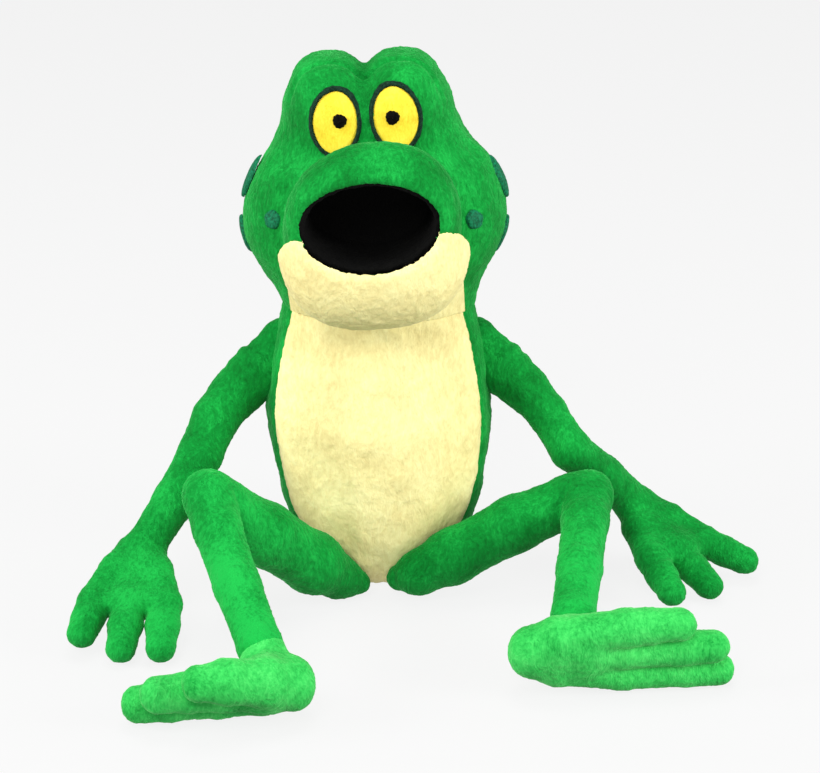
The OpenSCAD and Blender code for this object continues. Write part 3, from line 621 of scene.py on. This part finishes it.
def jaw_field(P):
    """The cream lower jaw, up to the lip seam."""
    U = unlean(P)
    y = np.abs((U[1] + 42) / 49.6)
    s = (np.abs((U[0] - 1.2) / 52.6) ** 2.6 + np.abs((U[2] - 221) / 55.5) ** 2.6) ** (3.0 / 2.6) + y ** 3.0
    chin = (s ** (1 / 3.0) - 1) * 46
    chin = smax(chin, U[2] - lip(U[1]), 7.0)
    chin = smax(chin, U[1] + 30, 3.0)
    return smax(chin, -mouth_field(U), 5.5)


def in_mouth(p):
    """Below zero at the points covered by the mouth, with a fuzzy edge."""
    return mouth_field(unlean(p.T)) - 1.0 + 0.45 * noise(p, 1.5, 6.1)


def off_throat(p):
    """Below zero on the cream cloth under the jaw."""
    x, y, z = unlean(p.T)
    return np.maximum(np.maximum(np.abs(x) - 48.5, y + 12), z - 188)


grid = Grid((-92, -104, NECK_Z - NECK_OVERLAP - 3), (88, 66, 316), STEP)
HEAD_GRID, HEAD = grid, head_field(grid.P)
FACE = smax(face_field(unlean(grid.P)), NECK_Z - grid.P[2], 2.0)
p, q = grid.skin(HEAD)
p = settle(p, pressed(((-92, -104, NECK_Z - 8), (88, 66, 316)), lambda P: head_field(P) + SMALLER,
                    lambda v: (v[:, 2] < NECK_Z + 8) | (np.abs(in_mouth(v)) < 9) | (v[:, 1] < -60)))
p = neighbours_mean(p, q, 1)
n = normals_of(p, q)
p = pile(p, n, 1.0, 0.6)
n = normals_of(p, q)
p, outside = snap(p, q, n, in_mouth, STEP)
p, not_throat = snap(p, q, n, off_throat, STEP)
keep = outside & (p[q].mean(axis=1)[:, 2] > NECK_Z - NECK_OVERLAP + 0.3)
throat = ~not_throat
head = piece("head_skin", p, q[keep & ~throat], GREEN, n)
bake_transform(head)
stuffed(head)
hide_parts("head_back_panel", "forehead_panel", "right_cheek_panel", "left_cheek_panel",
            "crown_plate", "brow_humps", "crown_stuffing", "cheek_stuffing", "snout_panel",
            "snout_stuffing", "finger_pocket")
throat_piece = piece("throat_skin", p, q[keep & throat], CREAM, n)
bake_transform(throat_piece)
stuffed(throat_piece)

grid = Grid((-66, -104, 158), (62, -24, 236), STEP)
p, q = grid.skin(jaw_field(grid.P))
p = neighbours_mean(p, q, 1)
n = normals_of(p, q)
p = pile(p, n, 1.0, 0.4)
n = normals_of(p, q)
p, outside = snap(p, q, n, in_mouth, STEP)
keep = outside & (p[q].mean(axis=1)[:, 1] < -31.5)
jaw = piece("jaw_skin", p, q[keep], CREAM, n)
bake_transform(jaw)
stuffed(jaw)
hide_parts("jaw_panel", "jaw_stuffing", "thumb_pocket")

# ---- mouth lining: a black cup with a shaggy rim ----
grid = Grid((-56, -98, 192), (52, -30, 262), STEP)
U = unlean(grid.P)
inner = mouth_field(U, -0.9)
outer = mouth_field(U, 3.4)
front = -(U[1] + 86.4 - 0.0042 * (U[0] - MOUTH_X) ** 2 - 0.0032 * np.clip(MOUTH_Z - U[2], -30, 30) ** 2)
cup = smax(smax(outer, -inner, 1.0), front, 2.0)
p, q = grid.skin(cup)
n = normals_of(p, q)
p = p + n * (0.5 * noise(p, 1.3, 3.0) + 0.5 * noise(p, 2.6, 8.0))[:, None]
lining = piece("mouth_lining", p, q, BLACK, normals_of(p, q))
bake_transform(lining)
stuffed(lining)
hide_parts("mouth_roof_lining", "mouth_back_lining", "mouth_floor_lining", "mouth_roof_board",
            "jaw_board")


# ---- eyes and spots: flat shapes laid on the head ----
def on_face(x, z, lift):
    """Points on the front of the head at upright x and z, lifted off the cloth."""
    x, z = np.broadcast_arrays(np.asarray(x, float), np.asarray(z, float))
    start = lean(np.stack([x.ravel(), np.zeros(x.size), z.ravel()], -1))
    way = np.tile([0.0, -1.0, 0.0], (x.size, 1))
    p = HEAD_GRID.hit(FACE, start, way, 70.0)
    p[:, 1] -= np.broadcast_to(lift, x.shape).ravel() + 0.2
    return p


def round_face(angle, z, lift):
    """Points on the side of the head, by angle round its middle and upright height."""
    angle, z = np.broadcast_arrays(np.asarray(angle, float), np.asarray(z, float))
    start = lean(np.stack([np.full(z.size, HEAD_X), np.zeros(z.size), z.ravel()], -1))
    a = np.radians(angle.ravel())
    way = np.stack([np.sin(a), -np.cos(a), np.zeros(a.size)], -1)
    p = HEAD_GRID.hit(HEAD, start, way, 88.0)
    return p + way * (np.broadcast_to(lift, z.shape).ravel() + 0.2)[:, None]


# middle across, middle height, tilt in degrees
EYES = {"right": (-15.2, 276.0, -6.0), "left": (17.4, 276.8, 7.0)}
EYE_HALF_W, EYE_HALF_H = 11.9, 16.4
RING_W = 2.9
EYE_SIDES = 96


def circle(sides):
    """Angles once round, the last a step short of the first."""
    return np.linspace(0, 2 * math.pi, sides + 1)[:-1]


for side, (ex, ez, tilt) in EYES.items():
    c, s = math.cos(math.radians(tilt)), math.sin(math.radians(tilt))

    def oval(share, angle, grow=0.0):
        u = (EYE_HALF_W + grow) * share * np.cos(angle)
        w = (EYE_HALF_H + grow) * share * np.sin(angle)
        return ex + u * c - w * s, ez + u * s + w * c

    shares = np.array([0.02, 0.2, 0.4, 0.6, 0.75, 0.88, 0.96, 1.0, 1.03])
    lifts = np.array([1.9, 1.9, 1.85, 1.75, 1.6, 1.35, 1.05, 0.7, -0.6])
    S, T = np.meshgrid(shares, circle(EYE_SIDES), indexing="ij")
    x, z = oval(S, T)
    p = on_face(x, z, np.broadcast_to(lifts[:, None], S.shape))
    f = ring_faces(len(shares), EYE_SIDES)
    middle = np.full(EYE_SIDES // 2, len(p))
    p = np.concatenate([p, p[:EYE_SIDES].mean(0, keepdims=True)])
    even = np.arange(0, EYE_SIDES, 2)
    fan = np.stack([middle, (even + 2) % EYE_SIDES, even + 1, even], -1)
    eye = piece(f"{side}_eye", p, np.concatenate([f, fan]), YELLOW)
    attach(eye, "head")
    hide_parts(f"{side}_eye_white")

    # satin band with one ridge per stitch
    stitches, per = 120, 6
    A, T = np.meshgrid(np.linspace(0, 1, 9), circle(stitches * per), indexing="ij")
    wobble = 0.25 * np.sin(T * 7 + 1) + 0.2 * np.sin(T * 23)
    x, z = oval(np.ones_like(T), T, RING_W * (A - 0.12) + wobble * (A - 0.5))
    ridge = 0.75 + 0.25 * np.abs(np.sin(T * stitches / 2 + 2.2 * A))
    lift = -0.4 + (2.6 * np.sin(math.pi * np.clip(A, 0, 1)) ** 0.6) * ridge
    p = on_face(x, z, lift)
    band = piece(f"{side}_eye_band", p, ring_faces(9, stitches * per), RING)
    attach(band, "head")
    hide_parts(f"{side}_eye_outline")

PUPILS = {"right": (-12.6, 277.2), "left": (15.6, 277.4)}
PUPIL_R, PUPIL_SIDES = 3.75, 72
for side, (px, pz) in PUPILS.items():
    shares = np.array([0.03, 0.3, 0.55, 0.75, 0.9, 1.0, 1.04])
    S, T = np.meshgrid(shares, circle(PUPIL_SIDES), indexing="ij")
    edge = PUPIL_R * (1 + 0.05 * np.sin(3 * T + 1) + 0.035 * np.sin(11 * T))
    x, z = px + S * edge * np.cos(T), pz + S * edge * np.sin(T)
    rib = 0.14 * np.sin(2 * math.pi * (x * 0.8 + z * 0.6) / 0.62)
    lift = np.interp(S, shares, [3.0, 2.95, 2.85, 2.7, 2.4, 2.0, 1.2]) + rib * (S < 0.95)
    p = on_face(x, z, lift)
    o = piece(f"{side}_pupil_patch", p, ring_faces(len(shares), PUPIL_SIDES), PUPIL)
    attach(o, "head")
    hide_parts(f"{side}_pupil")

# angle round the head in degrees, middle height, half width, half height
SPOTS = [(56.5, 220.5, 5.0, 5.0), (88, 236, 8, 11), (88, 203, 7.5, 10)]
SPOT_SIDES = 64
for side, sign in (("right", -1), ("left", 1)):
    parts = []
    for angle, z0, hw, hh in SPOTS:
        shares = np.array([0.02, 0.25, 0.5, 0.7, 0.85, 0.96, 1.02, 1.05])
        S, T = np.meshgrid(shares, circle(SPOT_SIDES), indexing="ij")
        edge = 1 + 0.04 * np.sin(5 * T) + 0.03 * np.sin(17 * T + z0)
        u, w = hw * S * edge * np.cos(T), hh * S * edge * np.sin(T)
        rib = 0.12 * np.sin(2 * math.pi * (u * 0.5 + w) / 0.7)
        lift = np.interp(S, shares, [1.5, 1.5, 1.45, 1.35, 1.2, 0.9, 0.3, -0.8]) + rib * (S < 0.97)
        p = round_face(sign * (angle + np.degrees(u / 70.0)), z0 + w, lift)
        f = ring_faces(len(shares), SPOT_SIDES)
        parts.append((p, f if sign > 0 else f[:, ::-1]))
    p, f = merge(parts)
    o = piece(f"{side}_spots", p, f, SPOT)
    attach(o, "head")
    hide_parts(f"{side}_cheek_spots")

# ---- torso ----
# height, half width, depth in front, depth behind
TORSO_ROWS = [[-4, 20, 23, 20], [0.5, 29, 31, 27], [5, 36, 37, 33], [15, 44.5, 42.5, 39],
              [30, 52, 46.8, 44.5], [50, 58.6, 50.5, 49.5], [72, 62.6, 53.2, 52.5], [86, 64, 54, 53.5],
              [100, 64.6, 54, 53.8],
              [113, 64, 53, 53.5], [125, 62.4, 51.8, 52], [140, 59.4, 49.4, 49.3], [152, 56.6, 47.2, 47],
              [160, 54.4, 45.4, 45.4], [168, 52.6, 44, 44]]
TORSO_POWER = 2.12
CUFF_Z, CUFF_R = 50.0, 38.0
# height, and how far round from the front the belly seam is there, in degrees
SEAM_ANGLES = [[-10, 8], [4, 20], [12, 36], [25, 50], [45, 59], [70, 63], [100, 64.5], [130, 64],
               [155, 63], [170, 62]]


def hand_way(P):
    """The room for the hand: in through the back, then up to the neck."""
    into = np.sqrt(P[0] ** 2 + (P[2] - CUFF_Z) ** 2) - (CUFF_R - 0.3)
    into = smax(into, 6 - P[1], 6.0)
    rise = seg(P, (0, 2, 66), (0, -1, 156), 33, 33)
    return smin(into, rise, 10.0)


def sway(z):
    """How far the lower body hangs to one side."""
    return 1.6 * np.clip((104 - z) / 50, 0, 1)


def seam_angle(z):
    return np.interp(z, *np.array(SEAM_ANGLES, float).T)


def off_belly(p):
    """Distance round the body from the belly seam, below zero on the cream side."""
    wide = table(p[:, 2], TORSO_ROWS, 1) / table(p[:, 2], TORSO_ROWS, 2)
    round_by = np.degrees(np.arctan2(np.abs(p[:, 0] - sway(p[:, 2])), -p[:, 1] * wide))
    return (round_by - seam_angle(p[:, 2])) * 0.98


def body_field(P):
    """The torso with its seams, hollow where the hand goes."""
    w, f, b = (table(P[2], TORSO_ROWS, i) for i in (1, 2, 3))
    d = np.where(P[1] < 0, f, b)
    P = [P[0] - sway(P[2]).astype(np.float32), P[1], P[2]]
    ring = (np.abs(P[0] / w) ** TORSO_POWER + np.abs(P[1] / d) ** TORSO_POWER) ** (1 / TORSO_POWER)
    body = (ring - 1) * np.minimum(w, d)
    angle = np.degrees(np.arctan2(np.abs(P[0]), -P[1] * (w / d)))
    off_seam = (angle - seam_angle(P[2]).astype(np.float32)) / 57.3 * 56
    body = body + 0.9 * np.exp(-(off_seam / 1.6) ** 2)
    dart = np.exp(-(P[0] / 1.3) ** 2) * np.clip((26 - P[2]) / 12, 0, 1) * (P[1] < 0)
    chin_seam = np.exp(-(P[0] / 1.4) ** 2) * np.clip((P[2] - 146) / 10, 0, 1) * (P[1] < 0)
    body = body + 1.5 * dart + 0.7 * chin_seam
    body = smax(body, 0.5 - P[2], 4.0)
    body = smax(body, P[2] - NECK_Z + 0.2, 2.0)
    return smax(body, -hand_way(P), 3.0)


grid = Grid((-74, -64, -3), (74, 64, NECK_Z + 3), STEP * 1.08)
p, q = grid.skin(body_field(grid.P))
p = settle(p, pressed(((-74, -64, -6), (74, 64, NECK_Z + 6)), lambda P: body_field(P) + SMALLER,
                    lambda v: (np.abs(off_belly(v)) < 4) | (v[:, 2] > NECK_Z - 8) | (v[:, 2] < 3)
                    | (hand_way(v.T) < 6)))
p = neighbours_mean(p, q, 1)
n = normals_of(p, q)
room = hand_way([grid.P[0] - sway(grid.P[2]).astype(np.float32), grid.P[1], grid.P[2]])
inside = grid.sample(room, p) < 2.2
fluffed = pile(p, n, 1.0, 0.9)
rumpled = p + n * (1.4 * noise(p, 17, 2.0) + 0.7 * noise(p, 8, 5.0))[:, None]
p = np.where(inside[:, None], rumpled, fluffed)
n = normals_of(p, q)
p, not_front = snap(p, q, n, off_belly, STEP)
front = ~not_front
top = p[q].mean(axis=1)[:, 2] > NECK_Z - 0.9
lined = inside[q].all(axis=1)
TORSO_PARTS = [("torso_skin", ~front & ~lined & ~top, GREEN, "green_plush"),
               ("belly_skin", front & ~lined & ~top, CREAM, "cream_plush"),
               ("sleeve_lining", lined & ~top, LINING, "inner_lining")]
for name, faces, material, slot in TORSO_PARTS:
    o = piece(name, p, q[faces], material, n)
    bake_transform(o)
    if name == "torso_skin":
        stuffed(o)
        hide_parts("right_side_panel", "left_side_panel", "back_panel", "seat_panel", "torso_padding",
                    "neck_band")
    elif name == "belly_skin":
        stuffed(o)
        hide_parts("belly_panel")
    else:
        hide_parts("hand_sleeve")

# ---- hand opening: a rolled, gathered hem ----
HEM_TURNS, HEM_SIDES, HEM_R = 288, 20, CUFF_R + 1.2
T, A = np.meshgrid(circle(HEM_TURNS), circle(HEM_SIDES), indexing="ij")
gather = 0.5 * np.sin(T * 26) + 0.35 * np.sin(T * 41 + 1)
minor = 3.0 + 0.35 * gather
lobe = 1.0 + 0.16 * np.cos(A * 2)
r = HEM_R + minor * lobe * np.cos(A)
hem_x, hem_z = HEM_R * np.cos(T), CUFF_Z + HEM_R * np.sin(T)
hem_w, hem_b = (table(hem_z, TORSO_ROWS, i) for i in (1, 3))
back = hem_b * np.clip(1 - np.abs(hem_x / hem_w) ** TORSO_POWER, 0, 1) ** (1 / TORSO_POWER)
y = back - 1.0 + minor * lobe * np.sin(A) + 0.4 * gather
p = np.stack([r * np.cos(T), y, CUFF_Z + r * np.sin(T)], -1).reshape(-1, 3)
f = ring_faces(HEM_TURNS + 1, HEM_SIDES) % (HEM_TURNS * HEM_SIDES)
n = normals_of(p, f)
outward = np.stack([np.cos(T[:, 0]), 0 * T[:, 0], np.sin(T[:, 0])], -1)
if np.mean(np.sum(n.reshape(HEM_TURNS, HEM_SIDES, 3)[:, 0] * outward, -1)) < 0:
    f = f[:, ::-1]
    n = -n
p = pile(p, n, 0.9, 0.0)
hem = piece("hand_hem", p, f, GREEN)
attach(hem, "torso")
stuffed(hem)
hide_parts("hand_cuff", "cuff_hem")


# ---- limbs ----
def limb_mesh(lo, hi, field_of, held):
    """The skin of a limb, flat where it lies on the floor; held says where its seams keep it."""
    def lying(P):
        return smax(field_of(P), 0.7 - P[2], 2.5)

    g = Grid(lo, hi, STEP)
    p, q = g.skin(lying(g.P))
    p = settle(p, pressed((lo, hi), lambda P: lying(P) + SMALLER, held))
    p[:, 2] = np.maximum(p[:, 2], 0.6)
    p = neighbours_mean(p, q, 1)
    n = normals_of(p, q)
    p = pile(p, n, 0.9, 0.2)
    return p, q, normals_of(p, q)


def ray_field(P, o, d, w, length, spread, k, root, mid, finger_from, wide, thick, tip):
    """One finger with its share of the palm; k is -1, 0 or 1 across the hand."""
    def across(s):
        return k * (root + (mid - root) * min(1, max(0, s / finger_from)) ** 0.8)

    bend = math.tan(math.radians(spread))
    stops = [4.0, 0.4 * finger_from, finger_from, 0.5 * (finger_from + length - tip), length - tip]
    points = [o + d * s + w * (across(s) + max(0, s - finger_from) * bend) for s in stops]
    radii = [wide * 0.9, wide, wide, wide * 0.97, tip]
    n = unit(np.cross(d, w))
    return chain(P, points, radii, 3.0, (n, thick))


def hand_field(P, o, d, w, lengths, spreads, apart):
    """A flat padded hand with three fingers that part beyond the palm."""
    n = unit(np.cross(d, w))
    s = sum((P[i] - o[i]) * d[i] for i in range(3))
    k = np.clip(1.2 + (46 - s) * 0.5, 1.2, 8.0).astype(np.float32)
    out = None
    for j, (length, spread) in enumerate(zip(lengths, spreads)):
        ray = ray_field(P, o, d, w, length, spread, j - 1, 3.0, apart[j], 40.0, 9.2, 0.94, 8.3)
        out = ray if out is None else smin(out, ray, k)
    palm = seg(P, o + d * 18, o + d * 36, 11, 21, (n, 0.46))
    palm = smax(palm, s - 46, 5.0)
    return smin(out, palm, 5.0)


def foot_field(P, o, d, w, lengths, heel, split, thick):
    """A flat padded foot, toes at the far end of d; split is where the toes part."""
    n = unit(np.cross(d, w))
    s = sum((P[i] - o[i]) * d[i] for i in range(3))
    k = np.clip(0.3 + (split - s) * 0.4, 0.3, 9.0).astype(np.float32)
    wide = [9.4, 10.4, 9.7, 8.7, 8.3]
    place = [4, 9.5, 15.0, 16.0, 16.4]
    out = None
    for j, length in enumerate(lengths):
        stops = [-heel + 11, -heel + 24, 20, length - heel - 26, length - heel - 9.5]
        points = [o + d * a + w * ((j - 1) * b) for a, b in zip(stops, place)]
        ray = chain(P, points, wide, 3.0, (n, thick))
        out = ray if out is None else smin(out, ray, k)
    return out


# hand: its direction; apart and spreads: how its fingers part; bow: how the soft arm bends off its line
ARMS = {
    "right": dict(hand=toward(265.9, -24.8), lengths=(70, 79, 78), spreads=(-9, 0, 4), apart=(19.4, 0, 19.4),
                  stout=0.0, bow=np.array([-1.4, 0, 2.6]), bow_low=np.array([4.0, 0, 0.4])),
    "left": dict(hand=toward(-53.8, -24.5), lengths=(73, 77, 69), spreads=(-12, 2, 34), apart=(19.4, 0, 21.6),
                 stout=-2.0, bow=np.array([1.2, 0, 5.4]), bow_low=np.array([-0.4, 0, 1.4]))}
# foot: its direction; tilt: its turn about that; depth, lift and shift: from the ankle to its middle
LEGS = {
    "right": dict(foot=toward(194, 2), tilt=41, lengths=(97, 89, 70), heel=26, split=4, thick=1.16,
                  depth=18.4, lift=3.2, shift=np.array([-1.6, -8.6, 0.2]), collar=5.0,
                  bow=np.array([0, 0, -2.0]), stout=1.9, root_up=0.0, shin_by=-1.3),
    "left": dict(foot=toward(4, 0), tilt=107, lengths=(120, 116, 97), heel=39, split=20, thick=1.08,
                 depth=24, lift=0.4, shift=np.array([3.0, -3.5, 0.3]), collar=14.0,
                 bow=np.array([0, 0, 4.2]), stout=0.3, root_up=2.6, shin_by=0.0)}


def distance(v, place):
    return np.linalg.norm(v - place, axis=1)


def box_round(points, margin):
    """Corners of a box round the points, ending just under the floor."""
    span = np.array(points)
    lo, hi = span.min(0) - margin, span.max(0) + margin
    lo[2] = max(lo[2], -2)
    return lo, hi


def cut_pieces(names, p, q, n, cuts, replaced):
    """Cuts a limb across itself into one piece per length. cuts are (point, direction)."""
    c = p[q].mean(axis=1)
    label = np.zeros(len(q), int)
    for point, way in cuts:
        label += (((c - point) @ way) > 0).astype(int)
    for i, name in enumerate(names):
        o = piece(name, p, q[label == i], GREEN, n)
        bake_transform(o)
        stuffed(o)
        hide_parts(*replaced[i])


for side, sign in (("right", -1), ("left", 1)):
    arm = ARMS[side]
    S, E, W = at(f"{side}_shoulder"), at(f"{side}_elbow"), at(f"{side}_wrist")
    upper, fore, d = unit(E - S), unit(W - E), arm["hand"]
    wide = level(d)
    root = S + np.array([-sign * 22.0, 8.0, 18.0])
    bow, bow_low, stout = arm["bow"], arm["bow_low"], arm["stout"]

    def arm_field(P):
        flat = (np.array([0.0, 1.0, 0.0]), 0.7)
        base = seg(P, root, S + upper * 12 + bow, 18.5, 12.4 + stout * 0.5, flat)
        stops = [S - upper * 6 + bow, S + upper * 30 + bow, E + bow_low, E + fore * 30 + bow_low,
                 W + bow_low * 0.5]
        radii = [13.6 + stout * 0.5, 13.2 + stout, 12.4 + stout * 0.5, 11.7, 10.8]
        arm_part = chain(P, stops, radii, 3.0)
        hand = hand_field(P, W, d, wide, arm["lengths"], arm["spreads"], arm["apart"])
        out = smin(smin(base, arm_part, 8.0), hand, 6.0)
        # soft creases where the arm leaves the body
        along = sum((P[i] - root[i]) * upper[i] for i in range(3))
        for at_mm, deep in ((13, 1.0), (21, 0.8), (30, 0.6)):
            out = out + deep * np.exp(-((along - at_mm + 0.08 * (P[1])) / 2.0) ** 2)
        return out

    def held_arm(v):
        """Everything except the hand; the finger tips are held too."""
        return (distance(v, root) < 26) | (distance(v, E) < 9) | (np.abs((v - W) @ d - 30) > 40)

    lo, hi = box_round([root, S, E, W, W + d * max(arm["lengths"])], 36)
    p, q, n = limb_mesh(lo, hi, arm_field, held_arm)
    mid_upper, mid_fore = S + upper * 30, E + fore * 34
    cut_pieces([f"{side}_arm_root", f"{side}_arm_middle", f"{side}_arm_end"], p, q, n,
               [(mid_upper, upper), (mid_fore, fore)],
               [[f"{side}_upper_arm", f"{side}_arm_stuffing"],
                [f"{side}_forearm", f"{side}_forearm_stuffing"], [f"{side}_hand"]])

for side, sign in (("right", -1), ("left", 1)):
    leg = LEGS[side]
    H, K, A = at(f"{side}_hip"), at(f"{side}_knee"), at(f"{side}_ankle")
    thigh, shin, d = unit(K - H), unit(A - K), leg["foot"]
    w = spun(level(d), d, leg["tilt"])
    n = np.cross(d, w)
    facing = 1 if n[1] < 0 else -1
    bow, stout = leg["bow"], leg["stout"]
    sole = A + n * facing * leg["depth"] + w * leg["lift"] + leg["shift"]
    root = H + np.array([-sign * 11.0, 3.0, -4.6 + leg["root_up"]])
    raised = np.array([0, 0, leg["root_up"]])
    aside = np.array([leg["shin_by"], 0, 0])

    def leg_field(P):
        stops = [root, H + raised, H + thigh * 22 + bow * 0.6, H + thigh * 62 + bow,
                 K - thigh * 10 + bow * 0.4, K]
        out = chain(P, stops, [7.0, 12.0, 15.0 + stout, 15.2 + stout, 14.2, 13.4], 5.0)
        stops = [K, K + shin * 22 + aside, K + shin * 60 + aside, A + aside * 0.5, A + shin * 6]
        out = smin(out, chain(P, stops, [13.4, 13.1, 12.3, 11.7, 10.5], 3.0), 5.0)
        # the sewn line along the shin and the cloth folding inside the knee
        side_way = unit(np.cross(shin, [0.0, 1.0, 0.0]))
        off = sum((P[i] - K[i]) * unit(np.cross(shin, side_way))[i] for i in range(3))
        seam = np.exp(-((off + 3) / 1.1) ** 2) * np.clip((K[2] + 4 - P[2]) / 10, 0, 1)
        out = out + 0.7 * seam
        inner = unit((H - K) / np.linalg.norm(H - K) + (A - K) / np.linalg.norm(A - K))
        crease = unit(np.cross(thigh, shin))
        fold_way = unit(np.cross(inner, crease))
        across = sum((P[i] - K[i]) * fold_way[i] for i in range(3))
        depth = sum((P[i] - K[i]) * inner[i] for i in range(3))
        out = out + 1.6 * np.exp(-(across / 1.8) ** 2) * np.clip((depth - 2) / 8, 0, 1)
        return out

    def held_leg(v):
        """The two ends, the knee and what lies on the floor."""
        return (distance(v, root) < 24) | (distance(v, K) < 14) | (distance(v, A) < 16) | (v[:, 2] < 3)

    lo, hi = box_round([root, H, K, A], 28)
    p, q, n1 = limb_mesh(lo, hi, leg_field, held_leg)
    mid_thigh, mid_shin = H + thigh * 55, K + shin * 50
    cut_pieces([f"{side}_leg_root", f"{side}_leg_knee", f"{side}_leg_shin"], p, q, n1,
               [(mid_thigh, thigh), (mid_shin, shin)],
               [[f"{side}_thigh", f"{side}_thigh_stuffing"], [f"{side}_shin", f"{side}_shin_stuffing"], []])

    def whole_foot(P):
        foot = foot_field(P, sole, d, w, leg["lengths"], leg["heel"], leg["split"], leg["thick"])
        collar = chain(P, [A + shin * leg["collar"], sole], [11.6, 11.0], 4.0)
        return smin(foot, collar, 9.0)

    def held_foot(v):
        """What lies on the floor, and the toes."""
        return (v[:, 2] < 4) | ((v - sole) @ d > leg["split"])

    lo, hi = box_round([sole - d * leg["heel"], sole + d * max(leg["lengths"]), A], 36)
    p, q, n1 = limb_mesh(lo, hi, whole_foot, held_foot)
    # the feet take the lighter, painted-light copy of the green
    foot = piece(f"{side}_foot_skin", p, q, GREEN_PAINTED_LIT, n1)
    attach(foot, f"{side}_sole")
    stuffed(foot)
    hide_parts(f"{side}_foot")


# ---- studio ----
def square(name, size, z, material):
    mesh = bpy.data.meshes.new(name)
    s = size / 2
    mesh.from_pydata([(-s, -s, z), (s, -s, z), (s, s, z), (-s, s, z)], [], [(0, 1, 2, 3)])
    mesh.materials.append(material)
    o = bpy.data.objects.new(name, mesh)
    bpy.context.scene.collection.objects.link(o)
    return o


m, t, b = tree_of("pale_floor")
b.inputs["Base Color"].default_value = (0.06, 0.06, 0.06, 1)
b.inputs["Roughness"].default_value = 1.0
b.inputs["Specular IOR Level"].default_value = 0.0
b.inputs["Emission Color"].default_value = (1, 1, 1, 1)
b.inputs["Emission Strength"].default_value = 0.85
floor = square("floor", 14.0, -0.0004, m)
floor.visible_diffuse = False


def look_at(o, place, aim):
    o.location = place
    o.rotation_euler = (Vector(aim) - Vector(place)).to_track_quat("-Z", "Y").to_euler()


def area(name, place, aim, size, power):
    light = bpy.data.lights.new(name, "AREA")
    light.shape = "DISK"
    light.size = size
    light.energy = power
    o = bpy.data.objects.new(name, light)
    look_at(o, place, aim)
    bpy.context.scene.collection.objects.link(o)


area("key", (-0.4, -1.6, 1.5), (0, 0, 0.14), 1.0, 23)
area("left_side", (-1.6, -0.5, 0.7), (0, 0, 0.14), 0.8, 25)
area("right_side", (1.6, -0.7, 0.6), (0, 0, 0.14), 0.8, 29)
area("low_front", (0.1, -1.7, 0.3), (0, 0, 0.08), 0.8, 4)
area("top", (0.0, -0.1, 1.9), (0, -0.05, 0.1), 1.0, 14)
world = bpy.data.worlds.new("studio")
world.use_nodes = True
world.node_tree.nodes["Background"].inputs[0].default_value = (1, 1, 1, 1)
world.node_tree.nodes["Background"].inputs[1].default_value = 0.44
bpy.context.scene.world = world
bpy.context.scene.view_settings.view_transform = "Standard"

CAMERA_AIM, CAMERA_AWAY, CAMERA_UP = (0.018, -0.030, 0.121895), 1.25, 20.0
SENSOR_MM, LENS_MM = 36.0, 97.99
cam = bpy.data.cameras.new("camera")
cam.sensor_width = SENSOR_MM
cam.lens = LENS_MM
cam_object = bpy.data.objects.new("camera", cam)
look_at(cam_object, CAMERA_AIM + CAMERA_AWAY * toward(-90, CAMERA_UP), CAMERA_AIM)
bpy.context.scene.collection.objects.link(cam_object)
bpy.context.scene.camera = cam_object
